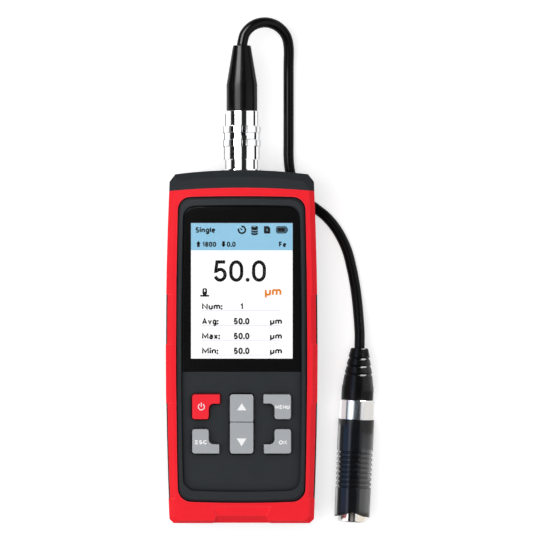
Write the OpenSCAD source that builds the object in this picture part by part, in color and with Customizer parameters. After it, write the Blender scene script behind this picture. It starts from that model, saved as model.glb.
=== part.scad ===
// Coating thickness gauge lying on its back, with its corded probe beside it.
// Millimetres. X across the case, Y towards the socket, Z out of the screen.
// The origin is on the back face, under the middle of the case.

/* [Case] */
// Widest width of the case
body_w = 64.3; // [62:0.1:68]
// Length of the case without the socket
body_l = 149.5; // [146:0.5:156]
// Thickness from the back face to the red lip
body_t = 31; // [30:0.1:33]
// How far each long side bows out
side_bow = 1.55; // [0.8:0.05:2]
// How far the socket end arches
top_bow = 1.8; // [1.2:0.1:2.4]
// Wall thickness of the case
wall = 2.2; // [1.8:0.1:2.4]
// Height of the bevel round the back face
back_bevel_h = 9; // [7.5:0.1:9.5]
// Width of the bevel along the long sides
side_bevel_w = 13; // [11:0.1:13.5]
// Length of the grey cap at the socket end
cap_l = 7.5; // [6.9:0.1:8]
// Depth of the step that shows the grip pads
grip_step = 0.6; // [0.4:0.05:1]

/* [Front] */
// Width of the red band beside the bezel
band_w = 4.75; // [4.25:0.05:5.25]
// Width of the bezel rim along the long sides
rim_w = 2.3; // [2:0.1:2.6]
// Height of the bezel rim over the red lip
rim_rise = 0.9; // [0.5:0.05:1.2]
// Thickness of the display window
window_t = 1.5; // [1:0.1:1.8]
// Width of the lit part of the display
screen_w = 43; // [40:0.1:44]
// Share of the panel's length that the lit part takes
screen_share = 0.445; // [0.42:0.005:0.45]

/* [Keys] */
// Distance from the middle to the outer edge of the outer keys
key_span = 20.85; // [20.4:0.05:21.2]
// Width of the two centre keys
key_mid_w = 9.8; // [9:0.1:11]
// Thickness of each L-shaped key's bar
key_bar = 3.9; // [3.6:0.1:4.5]
// How far the keys stand out of the panel
key_rise = 1.2; // [1:0.05:1.6]
// How far a key goes down
key_travel = 0.8; // [0.5:0.05:0.9]
// Gap between a key and its opening
key_gap = 0.4; // [0.25:0.05:0.5]

/* [Plug and socket] */
// Diameter of the plug nose
nose_d = 12; // [11.5:0.1:12.3]
// Diameter of the release sleeve
sleeve_d = 15.3; // [15:0.1:15.6]
// How far the release sleeve slides back
sleeve_travel = 1.4; // [0.8:0.1:1.6]
// Length of the plug boot
plug_boot_l = 28; // [26:0.2:30]
// Running clearance round sliding parts
slide_gap = 0.1; // [0.06:0.01:0.12]

/* [Cable and probe] */
// Diameter of the cable
cable_d = 4.5; // [4:0.1:4.8]
// Diameter of the probe barrel
probe_d = 15.5; // [15.2:0.1:16]
// Length of the black barrel
barrel_l = 42; // [40:0.2:44]
// Length of the silver ring
ring_l = 8.3; // [7:0.1:9]
// Length of the ribbed probe boot
probe_boot_l = 22.3; // [21.5:0.1:24]
// How far the sensor head stands out of the barrel
tip_out = 2.1; // [1.9:0.1:2.6]
// How far the sensor head goes in
tip_travel = 1.8; // [1:0.1:1.9]

/* [Hidden] */
$fn = 96;

fit = 0.1;
seam = 0.12;
half_w = body_w / 2;
y_top = body_l / 2;
y_bot = -body_l / 2;
case_steps = 8;
corner_steps = 6;
top_bevel_w = 22;
bottom_bevel_w = 10;
side_cut = [2.2, 1.8];
top_cut = [3.2, 3.2];
bottom_cut = [1.3, 1.8];
corner_cut = [2.5, 3.2];
foot_corner = 1.8;
part_z = 15;
pad_top = 25.5;
cap_r = arc_radius(60, 1.3);
y_cap = y_top - cap_l;
tongue_t = 1.2;
tongue_l = 3;

lip_z = body_t - 2.6;
panel_face = body_t - 0.4;
panel_back = body_t - 4;
rim_top = body_t + rim_rise;
panel_half_w = half_w - band_w;
panel_top = y_top - 11.5;
panel_bot = y_bot + 9.05;
panel_bow = 0.75;
panel_arch = 0.3;
panel_foot_arch = 0.4;
panel_corner = 5.4;
panel_foot_corner = 5.6;
rim_top_w = 3.9;
rim_bot_w = 4.9;
rim_slope = 1;
rim_inner_slope = 0.6;
flange_w = 1.2;
panel_gap = 0.35;
window_seat = panel_face - window_t;
// Layout down the panel, as shares of its length
panel_l = panel_top - panel_bot;
screen_h = screen_share * panel_l;
screen_y = panel_top - 0.3077 * panel_l;
window_bot = panel_top - 0.573 * panel_l;
key_top_y = panel_top - 0.6468 * panel_l;
keys_l = 0.1937 * panel_l;
key_low_y = key_top_y - keys_l;
key_upper_h = 0.419 * keys_l;
key_lower_h = 0.4123 * keys_l;
key_mid_split = 0.4676 * keys_l;
strip_l = key_low_y - panel_bot;

window_gap = 0.15;
screen_margin = 1.2;
board_top = panel_back - 4;
board_t = 1.6;
board_half_w = 22.5;
board_foot = panel_bot + 4.75;
tray_t = 2;
tray_border = 3.4;
tray_head = 5.7;
tray_gap = 1.05;
glass_t = 1.8;
glass_border = 2.6;
glass_foot = 3.6;
key_stem = 6.95;
key_upper_bar = 11.65;
key_lower_bar = 11.4;
key_mid_gap = 0.3;
key_outer_r = 1.1;
key_inner_r = 2.1;
key_tip_r = 0.4;
key_tip_l = 2.8;
key_flange = 0.9;
key_mid_flange = 1.1;
key_flange_t = 1.5;
plunger_d = 3.2;
key_top = panel_face + key_rise;
flange_top = panel_back - 0.15;
flange_bot = flange_top - key_flange_t;
switch_h = 0.8;
plunger_bot = board_top + switch_h + key_travel + 0.1;
mat_t = flange_bot - key_travel - 0.15 - board_top;
mat_wall = 1.5;
mat_gap = 0.25;
mat_half_w = key_span + key_flange + mat_gap + mat_wall;
mat_top = key_top_y + key_flange + mat_gap + mat_wall;
mat_bot = key_low_y - key_flange - mat_gap - mat_wall;
switch_d = 5;
switch_gap = 0.3;
standoff_d = 5;
standoff_gap = 0.4;
standoff_x = board_half_w - standoff_d / 2;
standoff_high = mat_top + standoff_gap + standoff_d / 2;
standoff_low = panel_bot + 0.43 * strip_l;
standoffs = [for (y = [standoff_high, standoff_low]) for (x = [-standoff_x, standoff_x]) [x, y]];
tray_bot = standoff_high + standoff_d / 2 + tray_gap;
tray_top = screen_y + screen_h / 2 + tray_head;
board_end = tray_top - 3.5;
board_screw_d = 2;
board_screw_head = [3.8, 1.3];
board_screw_in = 3.4;
key_site_x = key_span - key_stem / 2;
key_site_up = key_top_y - 0.42 * key_upper_h;
key_site_low = key_low_y + 0.42 * key_lower_h;
key_sites = [[-key_site_x, key_site_up], [-key_site_x, key_site_low], [0, key_top_y - key_mid_split / 2],
    [0, key_low_y + (keys_l - key_mid_split) / 2], [key_site_x, key_site_up], [key_site_x, key_site_low]];

post_x = half_w - 6.5;
posts = [[-post_x, y_top - 28.5], [post_x, y_top - 28.5], [-post_x, y_bot + 16.5], [post_x, y_bot + 16.5]];
post_r = 3.9;
boss_r = 2.9;
boss_top = board_top - 0.5;
screw_r = 1.45;
head_r = 2.7;
head_z = 8;

cell_d = 10.5;
cell_l = 43.3;
nub = [3.8, 1.2];
cell_pitch = cell_d + 0.7;
plate_t = 0.5;
bay_l = cell_l + nub[1] + 2 * plate_t + 2.9;
bay_half_w = cell_pitch + cell_d / 2 + 0.45;
bay_bot = y_bot + 13.7;
bay_top = bay_bot + bay_l;
bay_wall = 1.5;
door_t = 1.8;
door_in = 0.3;
door_ledge = 1.1;
door_gap = 0.2;
cell_z = door_in + door_t + 1.1 + cell_d / 2;
bay_roof = cell_z + cell_d / 2 + 0.2;
door_screw_y = bay_top + 4.4;

conn_z = 18;
socket_face = y_top - 0.35;
socket_flange = [16.6, 0.8];
socket_wall = 0.9;
socket_d = nose_d + 2 * slide_gap + 2 * socket_wall;
socket_out = 4.9;
socket_end = socket_face + socket_out;
socket_in = 12.2;
nut_t = 2.4;
nut_d = socket_d + 2.6;
nut_seat = y_top - 3.2;
insert_step = 4;
pin_d = 1;
pin_ring = 3.1;
pin_count = 5;

sleeve_l = 14.2;
sleeve_y = socket_end + 0.2;
ring_d = sleeve_d + 0.8;
ring_t = 2.95;
ring_ys = [5.4, 11.2];
sleeve_step = 9;
backnut_d = sleeve_d - 1.1;
backnut_y = sleeve_y + sleeve_step + sleeve_travel + 0.3;
backnut_end = sleeve_y + sleeve_l + 6.4;
nose_y = socket_face - 8;
nose_wall = 0.8;
nose_end = backnut_end - 4.4;
plug_boot_d = backnut_d - 1;
plug_boot_tip = 7.6;
plug_boot_straight = 11.3;
spigot_d = 8;
exit_pt = [0, backnut_end + plug_boot_l, conn_z];

probe_lean = 2.6;
probe_r = probe_d / 2;
entry_pt = [half_w + 18.3, y_top - 75.9, probe_r];
probe_dir = [-sin(probe_lean), -cos(probe_lean), 0];
boot_tip_d = 7.5;
boot_d = probe_d - 1.65;
boot_taper_l = 16.2;
rib_zs = [4.5, 7.8, 11.3];
rib_w = 1.2;
rib_depth = 0.5;
spine_d = 10.9;
spine_in = 6.3;
spine_out = 5.7;
wire_d = 3;
barrel_z = probe_boot_l + ring_l;
barrel_end = barrel_z + barrel_l;
barrel_straight = 9.7;
barrel_tip_d = probe_d - 0.4;
tip_d = 12.2;
tip_flange_d = 13;
tip_flange_t = 3.8;
tip_room = tip_flange_t + tip_travel + 0.6;
lip_l = 4.5;
tip_z = barrel_end - lip_l - 0.2;
tip_end = barrel_end + tip_out;
groove_count = 8;
groove_pitch = 2.1;
groove_z = barrel_z + 13.6;
groove_depth = 0.5;
notch_depth = 2.4;
pole_d = 3;
spring_wire = 0.9;
spring_d = 9.4;
spring_z = barrel_z + spine_out;

cable_r = cable_d / 2;
cable_sides = 10;
// Route from the plug boot: the arch, then down to the table
loop_pts = [[0, 0, 0], [1.35, 5.2, -0.7], [5, 8.85, -2.2], [10, 10.2, -4.3], [15, 8.85, -6.7],
    [18.65, 5.2, -9.2], [20, 0.2, -11.5], [20, -8, -14.2], [20, -16, -15.5], [20, -24, -15.7],
    [20, -32, -15.7], [20, -40, -15.7], [20, -47, -15.7]];
// Route back from the probe boot: under the case corner, then along the table
run_pts = [[-29.9, 76.5, -5.4], [-28.6, 71.2, -5.4], [-26.3, 66.8, -5.4], [-22.7, 63.1, -5.4],
    [-18.6, 59.95, -5.4], [-14.5, 56.7, -5.4], [-10.8, 52.5, -5.4], [-7.6, 47.3, -5.4],
    [-5.1, 41.5, -5.4], [-3.35, 34.8, -5.4], [-2, 28, -5.2], [-1, 20.7, -4.2], [-0.35, 13.2, -2.2],
    [0.05, 6.2, -0.5], [0, 0, 0]];
cable_pts = concat([for (p = loop_pts) on_table(p + exit_pt)], [for (p = run_pts) on_table(p + entry_pt)]);

case_grey = "#34383b";
cap_grey = "#3c3f42";
case_red = "#e8303a";
key_grey = "#a9adb1";
chrome = "#d8dade";
rubber = "#1a1a1b";
brass = "#c9a75a";
board_green = "#1f5c3a";
steel = "#b9bcc0";

function arc_radius(chord, bow) = (chord * chord / 4 + bow * bow) / (2 * bow);
// Outline of the case with its sides, socket end and foot moved in
function case_ring(side_in, end_in, foot_in) =
    let (yb = y_bot + foot_in + foot_corner, yt = y_top - end_in - top_bow - corner_cut[1],
        steps = [for (i = [0:case_steps]) 2 * i / case_steps - 1],
        side = [for (t = steps) [half_w - side_in - side_bow * t * t, (yb + yt) / 2 + (yt - yb) / 2 * t]],
        end_x = side[case_steps][0] - corner_cut[0],
        end = [for (t = steps) [-end_x * t, y_top - end_in - top_bow * t * t]],
        foot_x = side[0][0] - foot_corner)
    concat(side, end, [for (i = [case_steps:-1:0]) [-side[i][0], side[i][1]]],
        [[-foot_x, yb - foot_corner], [foot_x, yb - foot_corner]]);
// Quarter of a rounded corner about c, from angle a
function corner_arc(c, r, a) = [for (i = [1:corner_steps - 1])
    let (t = a + 90 * i / corner_steps) c + r * [cos(t), sin(t)]];
// Bowed outline with rounded corners for the panel, moved in at the sides, top and bottom
function panel_ring(side_in, top_in, bot_in) =
    let (rt = panel_corner - 0.3 * side_in, rb = panel_foot_corner - 0.3 * side_in,
        yt = panel_top - top_in - panel_arch - rt, yb = panel_bot + bot_in + panel_foot_arch + rb,
        steps = [for (i = [0:case_steps]) 2 * i / case_steps - 1],
        side = [for (t = steps) [panel_half_w - side_in - panel_bow * t * t, (yb + yt) / 2 + (yt - yb) / 2 * t]],
        tx = side[case_steps][0] - rt, bx = side[0][0] - rb,
        top = [for (t = steps) [-tx * t, yt + rt + panel_arch * (1 - t * t)]],
        foot = [for (t = steps) [bx * t, yb - rb - panel_foot_arch * (1 - t * t)]])
    concat(side, corner_arc([tx, yt], rt, 0), top, corner_arc([-tx, yt], rt, 90),
        [for (i = [case_steps:-1:0]) [-side[i][0], side[i][1]]], corner_arc([-bx, yb], rb, 180),
        foot, corner_arc([bx, yb], rb, 270));
// Outer diameter of the barrel at a distance from the ring
function barrel_d(z) =
    probe_d - (probe_d - barrel_tip_d) * max(z - barrel_straight, 0) / (barrel_l - barrel_straight);
function on_table(p) = [p[0], p[1], max(p[2], cable_r + fit)];
function unit(v) = v / norm(v);
function spline(a, b, c, d, t) =
    0.5 * (2 * b + (c - a) * t + (2 * a - 5 * b + 4 * c - d) * t * t + (3 * b - a - 3 * c + d) * t * t * t);
function smooth_path(p, n) = concat(
    [for (i = [0:len(p) - 2]) for (k = [0:n - 1])
        spline(p[max(i - 1, 0)], p[i], p[i + 1], p[min(i + 2, len(p) - 1)], k / n)],
    [p[len(p) - 1]]);
function path_dir(p, i, first, last) =
    i == 0 ? first : i == len(p) - 1 ? last : unit(p[i + 1] - p[i - 1]);
function ring_at(p, dir, r, n) =
    let (side = unit(cross(dir, [0, 0, 1])), up = cross(side, dir))
    [for (k = [0:n - 1]) p + r * (cos(360 * k / n) * side + sin(360 * k / n) * up)];

// Tube with flat ends along a path
module tube(path, r, n, first, last) {
    count = len(path);
    points = [for (i = [0:count - 1]) each ring_at(path[i], path_dir(path, i, first, last), r, n)];
    walls = [for (i = [0:count - 2]) for (k = [0:n - 1])
        [i * n + k, i * n + (k + 1) % n, (i + 1) * n + (k + 1) % n, (i + 1) * n + k]];
    near = [[for (k = [n - 1:-1:0]) k]];
    far = [[for (k = [0:n - 1]) (count - 1) * n + k]];
    polyhedron(points, concat(walls, near, far));
}

// Coil spring about Z, made as a tube along a helix
module coil(d, wire, height, turns, steps) {
    rise = height - wire;
    path = [for (i = [0:turns * steps])
        let (a = 360 * i / steps)
        [d / 2 * cos(a), d / 2 * sin(a), wire / 2 + rise * i / (turns * steps)]];
    last = turns * steps;
    tube(path, wire / 2, 6, unit(path[1] - path[0]), unit(path[last] - path[last - 1]));
}

// Tube standing on Z
module pipe(outer, inner, h) {
    difference() {
        cylinder(d = outer, h = h);
        translate([0, 0, -1])
            cylinder(d = inner, h = h + 2);
    }
}

// Solid through a stack of rings with the same number of points
module loft(rings, zs) {
    n = len(rings[0]);
    top = len(rings) - 1;
    points = [for (i = [0:top]) for (q = rings[i]) [q[0], q[1], zs[i]]];
    walls = [for (i = [0:top - 1]) for (k = [0:n - 1])
        [i * n + (k + 1) % n, i * n + k, (i + 1) * n + k, (i + 1) * n + (k + 1) % n]];
    floor = [[for (k = [0:n - 1]) k]];
    roof = [[for (k = [n - 1:-1:0]) top * n + k]];
    polyhedron(points, concat(walls, floor, roof));
}

// Solid outline of the whole case, moved in by inset
module case_blank(inset) {
    rings = [[side_bevel_w, top_bevel_w, bottom_bevel_w], [0, 0, 0], [0, 0, 0],
        [0, top_cut[0] - side_cut[1], 0], [side_cut[0], top_cut[0], bottom_cut[0]]];
    zs = [0, back_bevel_h, body_t - top_cut[1], body_t - side_cut[1], body_t];
    loft([for (r = rings) case_ring(r[0] + inset, r[1] + inset, r[2] + inset)], zs);
}

// Everything on the keypad side of the cap's seam
module below_cap(gap) {
    translate([0, y_cap - gap - cap_r, -20])
        cylinder(r = cap_r, h = body_t + 40, $fn = 360);
}

// Hollow inside of the case
module cavity(extra) {
    intersection() {
        translate([0, 0, wall + extra])
            case_blank(wall + extra);
        translate([-50, -100, 0])
            cube([100, 200, lip_z - extra]);
    }
}

// Side zones where the grip pads rise into the red frame
module grip_zones(grow, top) {
    for (zone = [[y_top - 76.6, y_top - 49.8], [y_bot + 7.5, y_bot + 53.6]])
        translate([-60, 0, 0])
            rotate([90, 0, 90])
                linear_extrude(height = 120)
                    polygon([[zone[0] - grow, part_z - 1], [zone[1] + grow, part_z - 1],
                        [zone[1] + grow, part_z], [zone[1] - 3 + grow, pad_top],
                        [zone[1] - 3 + grow, top], [zone[0] + 3 - grow, top],
                        [zone[0] + 3 - grow, pad_top], [zone[0] - grow, part_z]]);
}

module at_each(sites) {
    for (p = sites)
        translate([p[0], p[1], 0])
            children();
}

module rear_blank() {
    intersection() {
        case_blank(0);
        below_cap(seam);
        union() {
            translate([-60, -100, -1])
                cube([120, 200, part_z + 1]);
            grip_zones(0, pad_top);
        }
    }
}

module bay_box(grow, z0, z1) {
    translate([-bay_half_w - grow, bay_bot - grow, z0])
        cube([2 * bay_half_w + 2 * grow, bay_l + 2 * grow, z1 - z0]);
}

// Outline of the door with its screw tab
module door_shape(grow) {
    translate([-bay_half_w - door_ledge - grow, bay_bot - door_ledge - grow])
        square([2 * (bay_half_w + door_ledge + grow), bay_l + 2 * door_ledge + 2 * grow]);
    tab = 4.5 + grow;
    end = door_screw_y + tab;
    polygon([[-tab, bay_top], [tab, bay_top], [tab, end - 3], [tab - 3, end], [3 - tab, end], [-tab, end - 3]]);
}

module rear_shell() {
    color(case_grey)
        difference() {
            union() {
                difference() {
                    rear_blank();
                    cavity(0);
                }
                intersection() {
                    rear_blank();
                    union() {
                        at_each(posts)
                            cylinder(r = post_r, h = part_z);
                        bay_box(bay_wall, 0, bay_roof + bay_wall);
                        translate([0, door_screw_y, 0])
                            cylinder(d = 7, h = 10);
                    }
                }
            }
            at_each(posts) {
                translate([0, 0, -1])
                    cylinder(r = head_r + 0.3, h = head_z + 1);
                cylinder(r = screw_r + 0.2, h = part_z + 1);
            }
            bay_box(0, -1, bay_roof);
            translate([0, 0, -1])
                linear_extrude(height = 1 + door_in + door_t)
                    door_shape(door_gap);
            translate([0, door_screw_y, 0])
                cylinder(d = 2.5, h = 8.6);
            for (x = [-10, 10])
                translate([x - 2.8, bay_bot - bay_wall - 1, door_in + door_t])
                    cube([5.6, bay_wall + 2, 1.9]);
        }
}

// Trapezoid recess and deeper bevel at the foot of the red frame
module foot_recess() {
    translate([0, 0, body_t - 0.6])
        linear_extrude(height = 5)
            polygon([[-12.4, y_bot + 7.1], [12.4, y_bot + 7.1], [10.4, y_bot + 3.3], [-10.4, y_bot + 3.3]]);
    intersection() {
        translate([0, 0, body_t - 10])
            linear_extrude(height = 20)
                polygon([[-10.5, y_bot + 3.4], [10.5, y_bot + 3.4], [12.6, y_bot - 1], [-12.6, y_bot - 1]]);
        translate([-20, y_bot + 3.3, body_t - 0.6])
            rotate([45, 0, 0])
                translate([0, -20, 0])
                    cube([40, 30, 20]);
    }
}

module red_frame() {
    color(case_red)
        difference() {
            union() {
                difference() {
                    intersection() {
                        case_blank(0);
                        below_cap(seam);
                        translate([-60, -100, part_z + seam])
                            cube([120, 200, body_t]);
                    }
                    cavity(0);
                }
                at_each(posts)
                    translate([0, 0, part_z + seam])
                        cylinder(r = boss_r, h = boss_top - part_z - seam);
                for (p = posts)
                    translate([p[0] > 0 ? p[0] : p[0] - 4.2, p[1] - 1, part_z + seam])
                        cube([4.2, 2, boss_top - part_z - seam]);
            }
            translate([0, 0, lip_z - 1])
                linear_extrude(height = 10)
                    panel_outline(panel_gap);
            grip_zones(seam, pad_top + seam);
            difference() {
                grip_zones(seam, body_t + 5);
                case_blank(grip_step);
            }
            foot_recess();
            at_each(posts)
                translate([0, 0, part_z - 1])
                    cylinder(r = screw_r + 0.05, h = boss_top - part_z);
        }
}

// Spot face, hole and nut space about the socket axis
module at_socket(y) {
    translate([0, y, conn_z])
        rotate([-90, 0, 0])
            children();
}

module top_cap() {
    color(cap_grey)
        difference() {
            union() {
                difference() {
                    case_blank(0);
                    below_cap(0);
                }
                intersection() {
                    cavity(seam);
                    below_cap(-1);
                    translate([-28, y_cap - tongue_l, 0])
                        cube([56, 20, panel_back - 3 * fit]);
                }
            }
            cavity(seam + tongue_t);
            at_socket(socket_face)
                cylinder(d = socket_flange[0] + 1, h = 5);
            at_socket(socket_face - 6)
                cylinder(d = socket_d + 0.2, h = 10);
            at_socket(nut_seat - 9)
                cylinder(d = nut_d + 1.6, h = 9);
        }
}

// Outline of the whole panel
module panel_outline(grow) {
    polygon(panel_ring(-grow, -grow, -grow));
}

// Ring along the inside of the bezel rim
function inner_ring(grow) = panel_ring(rim_w - grow, rim_top_w - grow, rim_bot_w - grow);

module inner_outline(grow) {
    polygon(inner_ring(grow));
}

module window_outline(grow) {
    intersection() {
        inner_outline(grow);
        translate([-50, window_bot - grow])
            square([100, 200]);
    }
}

module rounded_key(points) {
    offset(r = -key_inner_r, $fn = 32)
        offset(delta = key_inner_r)
            offset(r = key_outer_r, $fn = 32)
                offset(delta = -key_outer_r)
                    polygon(points);
}

// End of an L-shaped key's bar, with crisper corners than the rest
module bar_tip(x, y) {
    translate([x - key_tip_l + key_tip_r, y + key_tip_r])
        offset(r = key_tip_r, $fn = 16)
            square([key_tip_l - 2 * key_tip_r, key_bar - 2 * key_tip_r]);
}

// L-shaped key in the upper left corner, its bar along the top
module upper_key_shape() {
    x = -key_span;
    y = key_top_y;
    rounded_key([[x, y], [x + key_upper_bar, y], [x + key_upper_bar, y - key_bar], [x + key_stem, y - key_bar],
        [x + key_stem, y - key_upper_h], [x, y - key_upper_h]]);
    bar_tip(x + key_upper_bar, y - key_bar);
}

// L-shaped key in the lower left corner, its bar along the bottom
module lower_key_shape() {
    x = -key_span;
    y = key_low_y;
    rounded_key([[x, y], [x + key_lower_bar, y], [x + key_lower_bar, y + key_bar], [x + key_stem, y + key_bar],
        [x + key_stem, y + key_lower_h], [x, y + key_lower_h]]);
    bar_tip(x + key_lower_bar, y);
}

// Column of the two centre keys, rounded at its four outer corners
module mid_column() {
    x = key_mid_w / 2;
    rounded_key([[-x, key_low_y], [x, key_low_y], [x, key_top_y], [-x, key_top_y]]);
}

module mid_key_shape(y, h) {
    intersection() {
        mid_column();
        translate([-key_mid_w / 2, y])
            square([key_mid_w, h]);
    }
}

module key_openings() {
    for (side = [0, 1])
        mirror([side, 0]) {
            offset(delta = key_gap)
                upper_key_shape();
            offset(delta = key_gap)
                lower_key_shape();
        }
    offset(delta = key_gap)
        mid_column();
}

module front_panel() {
    color(case_grey)
        difference() {
            union() {
                loft([panel_ring(0, 0, 0), panel_ring(0, 0, 0), panel_ring(rim_slope, rim_slope, rim_slope)],
                    [panel_back, body_t - 0.2, rim_top]);
                translate([0, 0, panel_back])
                    linear_extrude(height = lip_z - fit - panel_back)
                        panel_outline(flange_w);
                at_each(standoffs)
                    translate([0, 0, board_top])
                        cylinder(d = standoff_d, h = panel_back - board_top + 1);
            }
            loft([inner_ring(0), inner_ring(rim_inner_slope)], [panel_face, rim_top + 0.1]);
            translate([0, 0, window_seat])
                linear_extrude(height = 5)
                    window_outline(0);
            translate([-screen_w / 2 - screen_margin, screen_y - screen_h / 2 - screen_margin, panel_back - 1])
                cube([screen_w + 2 * screen_margin, screen_h + 2 * screen_margin, 10]);
            translate([0, 0, panel_back - 1])
                linear_extrude(height = 10)
                    key_openings();
            at_each(standoffs)
                translate([0, 0, board_top - 1])
                    cylinder(d = board_screw_d + fit, h = board_screw_in + 1.6);
        }
}

module display_window() {
    color("#151515")
        translate([0, 0, window_seat])
            linear_extrude(height = window_t)
                window_outline(-window_gap);
}

module display_glass() {
    color("#c4d4dc")
        translate([-screen_w / 2 - glass_border, screen_y - screen_h / 2 - glass_foot, board_top + tray_t])
            cube([screen_w + 2 * glass_border, screen_h + glass_foot + glass_border, glass_t]);
}

module display_module() {
    color(steel)
        translate([-screen_w / 2 - tray_border, tray_bot, board_top])
            cube([screen_w + 2 * tray_border, tray_top - tray_bot, tray_t]);
}

module main_board() {
    color(board_green)
        difference() {
            translate([-board_half_w, board_foot, board_top - board_t])
                cube([2 * board_half_w, board_end - board_foot, board_t]);
            at_each(standoffs)
                translate([0, 0, board_top - board_t - 1])
                    cylinder(d = board_screw_d + 3 * fit, h = board_t + 2);
        }
}

// Pan head screw with its head at the bottom, on the Z axis
module pan_screw(head_d, head_h, shank_d, shank_l) {
    difference() {
        union() {
            cylinder(d = head_d, h = head_h);
            cylinder(d = shank_d, h = head_h + shank_l);
        }
        for (a = [0, 90])
            rotate([0, 0, a])
                translate([-head_d * 0.3, -head_d * 0.07, -1])
                    cube([head_d * 0.6, head_d * 0.14, 1 + head_h * 0.55]);
    }
}

module board_screws() {
    color(steel)
        at_each(standoffs)
            translate([0, 0, board_top - board_t - board_screw_head[1]])
                pan_screw(board_screw_head[0], board_screw_head[1], board_screw_d, board_t + board_screw_in);
}

module keypad_mat() {
    color("#2b2d30")
        difference() {
            translate([-mat_half_w, mat_bot, board_top])
                cube([2 * mat_half_w, mat_top - mat_bot, panel_back - fit - board_top]);
            translate([-mat_half_w + mat_wall, mat_bot + mat_wall, board_top + mat_t])
                cube([2 * (mat_half_w - mat_wall), mat_top - mat_bot - 2 * mat_wall, 10]);
            at_each(key_sites)
                translate([0, 0, board_top - 1])
                    cylinder(d = switch_d + 2 * switch_gap, h = 5);
        }
}

module key_switches() {
    color(steel)
        at_each(key_sites)
            translate([0, 0, board_top])
                cylinder(d1 = switch_d, d2 = 0.84 * switch_d, h = switch_h);
}

// Key cap with its retaining flange and plunger
module key_body(site) {
    translate([0, 0, flange_bot])
        linear_extrude(height = key_top - flange_bot)
            children(0);
    translate([0, 0, flange_bot])
        linear_extrude(height = key_flange_t)
            children(1);
    translate([site[0], site[1], plunger_bot])
        cylinder(d = plunger_d, h = flange_bot + 0.5 - plunger_bot);
}

module power_key() {
    color(case_red)
        key_body(key_sites[0]) {
            upper_key_shape();
            offset(delta = key_flange)
                upper_key_shape();
        }
}

module escape_key() {
    color(key_grey)
        key_body(key_sites[1]) {
            lower_key_shape();
            offset(delta = key_flange)
                lower_key_shape();
        }
}

module up_key() {
    h = key_mid_split - key_mid_gap / 2;
    color(key_grey)
        key_body(key_sites[2]) {
            mid_key_shape(key_top_y - h, h);
            translate([-key_mid_w / 2 - key_mid_flange, key_top_y - h + 1])
                square([key_mid_w + 2 * key_mid_flange, h - 2]);
        }
}

module down_key() {
    h = keys_l - key_mid_split - key_mid_gap / 2;
    color(key_grey)
        key_body(key_sites[3]) {
            mid_key_shape(key_low_y, h);
            translate([-key_mid_w / 2 - key_mid_flange, key_low_y + 1])
                square([key_mid_w + 2 * key_mid_flange, h - 2]);
        }
}

module menu_key() {
    color(key_grey)
        key_body(key_sites[4]) {
            mirror([1, 0])
                upper_key_shape();
            offset(delta = key_flange)
                mirror([1, 0])
                    upper_key_shape();
        }
}

module ok_key() {
    color(key_grey)
        key_body(key_sites[5]) {
            mirror([1, 0])
                lower_key_shape();
            offset(delta = key_flange)
                mirror([1, 0])
                    lower_key_shape();
        }
}

module battery_door() {
    color(case_grey)
        difference() {
            union() {
                translate([0, 0, door_in])
                    linear_extrude(height = door_t)
                        door_shape(0);
                for (x = [-10, 10]) {
                    translate([x - 2.5, bay_bot + 0.3, door_in])
                        cube([5, 1.4, door_t + 1.6]);
                    translate([x - 2.5, bay_bot - bay_wall - 0.9, door_in + door_t + 0.3])
                        cube([5, bay_wall + 2.6, 1.3]);
                }
            }
            translate([0, door_screw_y, -1])
                cylinder(d = 5, h = 1 + door_in + 1.3);
            translate([0, door_screw_y, -1])
                cylinder(d = 2.8, h = 5);
            for (i = [0:3])
                translate([-7, bay_top - 9 + 2.2 * i, door_in - 1])
                    cube([14, 1.1, 1.5]);
        }
}

module battery_door_screw() {
    color(steel)
        translate([0, door_screw_y, door_in + 0.1])
            pan_screw(4.6, 1.2, 2.4, 6.4);
}

module battery_cell() {
    cylinder(d = cell_d, h = cell_l);
    translate([0, 0, cell_l])
        cylinder(d = nub[0], h = nub[1]);
}

// Places a child on each cell axis, turned for the middle cell
module at_cells() {
    for (i = [-1:1])
        translate([i * cell_pitch, i == 0 ? bay_bot : bay_top, cell_z])
            rotate([i == 0 ? -90 : 90, 0, 0])
                children();
}

module battery_cells() {
    color("#3f6f9c")
        at_cells()
            translate([0, 0, plate_t + fit / 2 + nub[1] + cell_l])
                mirror([0, 0, 1])
                    battery_cell();
}

module battery_springs() {
    color(steel)
        at_cells()
            translate([0, 0, plate_t + fit + nub[1] + cell_l])
                coil(6, 0.7, bay_l - 2 * plate_t - 2 * fit - nub[1] - cell_l, 2, 14);
}

module battery_plates() {
    color(steel)
        at_cells() {
            translate([-4, -4, 0])
                cube([8, 8, plate_t]);
            translate([-4, -4, bay_l - plate_t])
                cube([8, 8, plate_t]);
        }
}

module case_screws() {
    color(steel)
        at_each(posts)
            translate([0, 0, head_z - 1.8])
                pan_screw(2 * head_r, 1.8, 2 * screw_r, boss_top - head_z - 1.6);
}

module socket_shell() {
    bore = nose_d + 2 * slide_gap;
    color(chrome)
        at_socket(socket_face)
            difference() {
                union() {
                    translate([0, 0, -socket_in])
                        cylinder(d = socket_d, h = socket_in + socket_out);
                    cylinder(d = socket_flange[0], h = socket_flange[1]);
                }
                translate([0, 0, -socket_in - 1])
                    cylinder(d = bore, h = 40);
            }
}

module socket_nut() {
    color(chrome)
        at_socket(nut_seat - nut_t - fit / 2)
            difference() {
                pipe(nut_d, socket_d + 0.1, nut_t);
                for (a = [0, 90])
                    rotate([0, 0, a])
                        translate([-15, -0.8, -1])
                            cube([30, 1.6, 1.8]);
            }
}

module pin_sites() {
    for (i = [0:pin_count - 1])
        rotate([0, 0, 90 + 360 * i / pin_count])
            translate([pin_ring, 0, 0])
                children();
}

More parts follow.
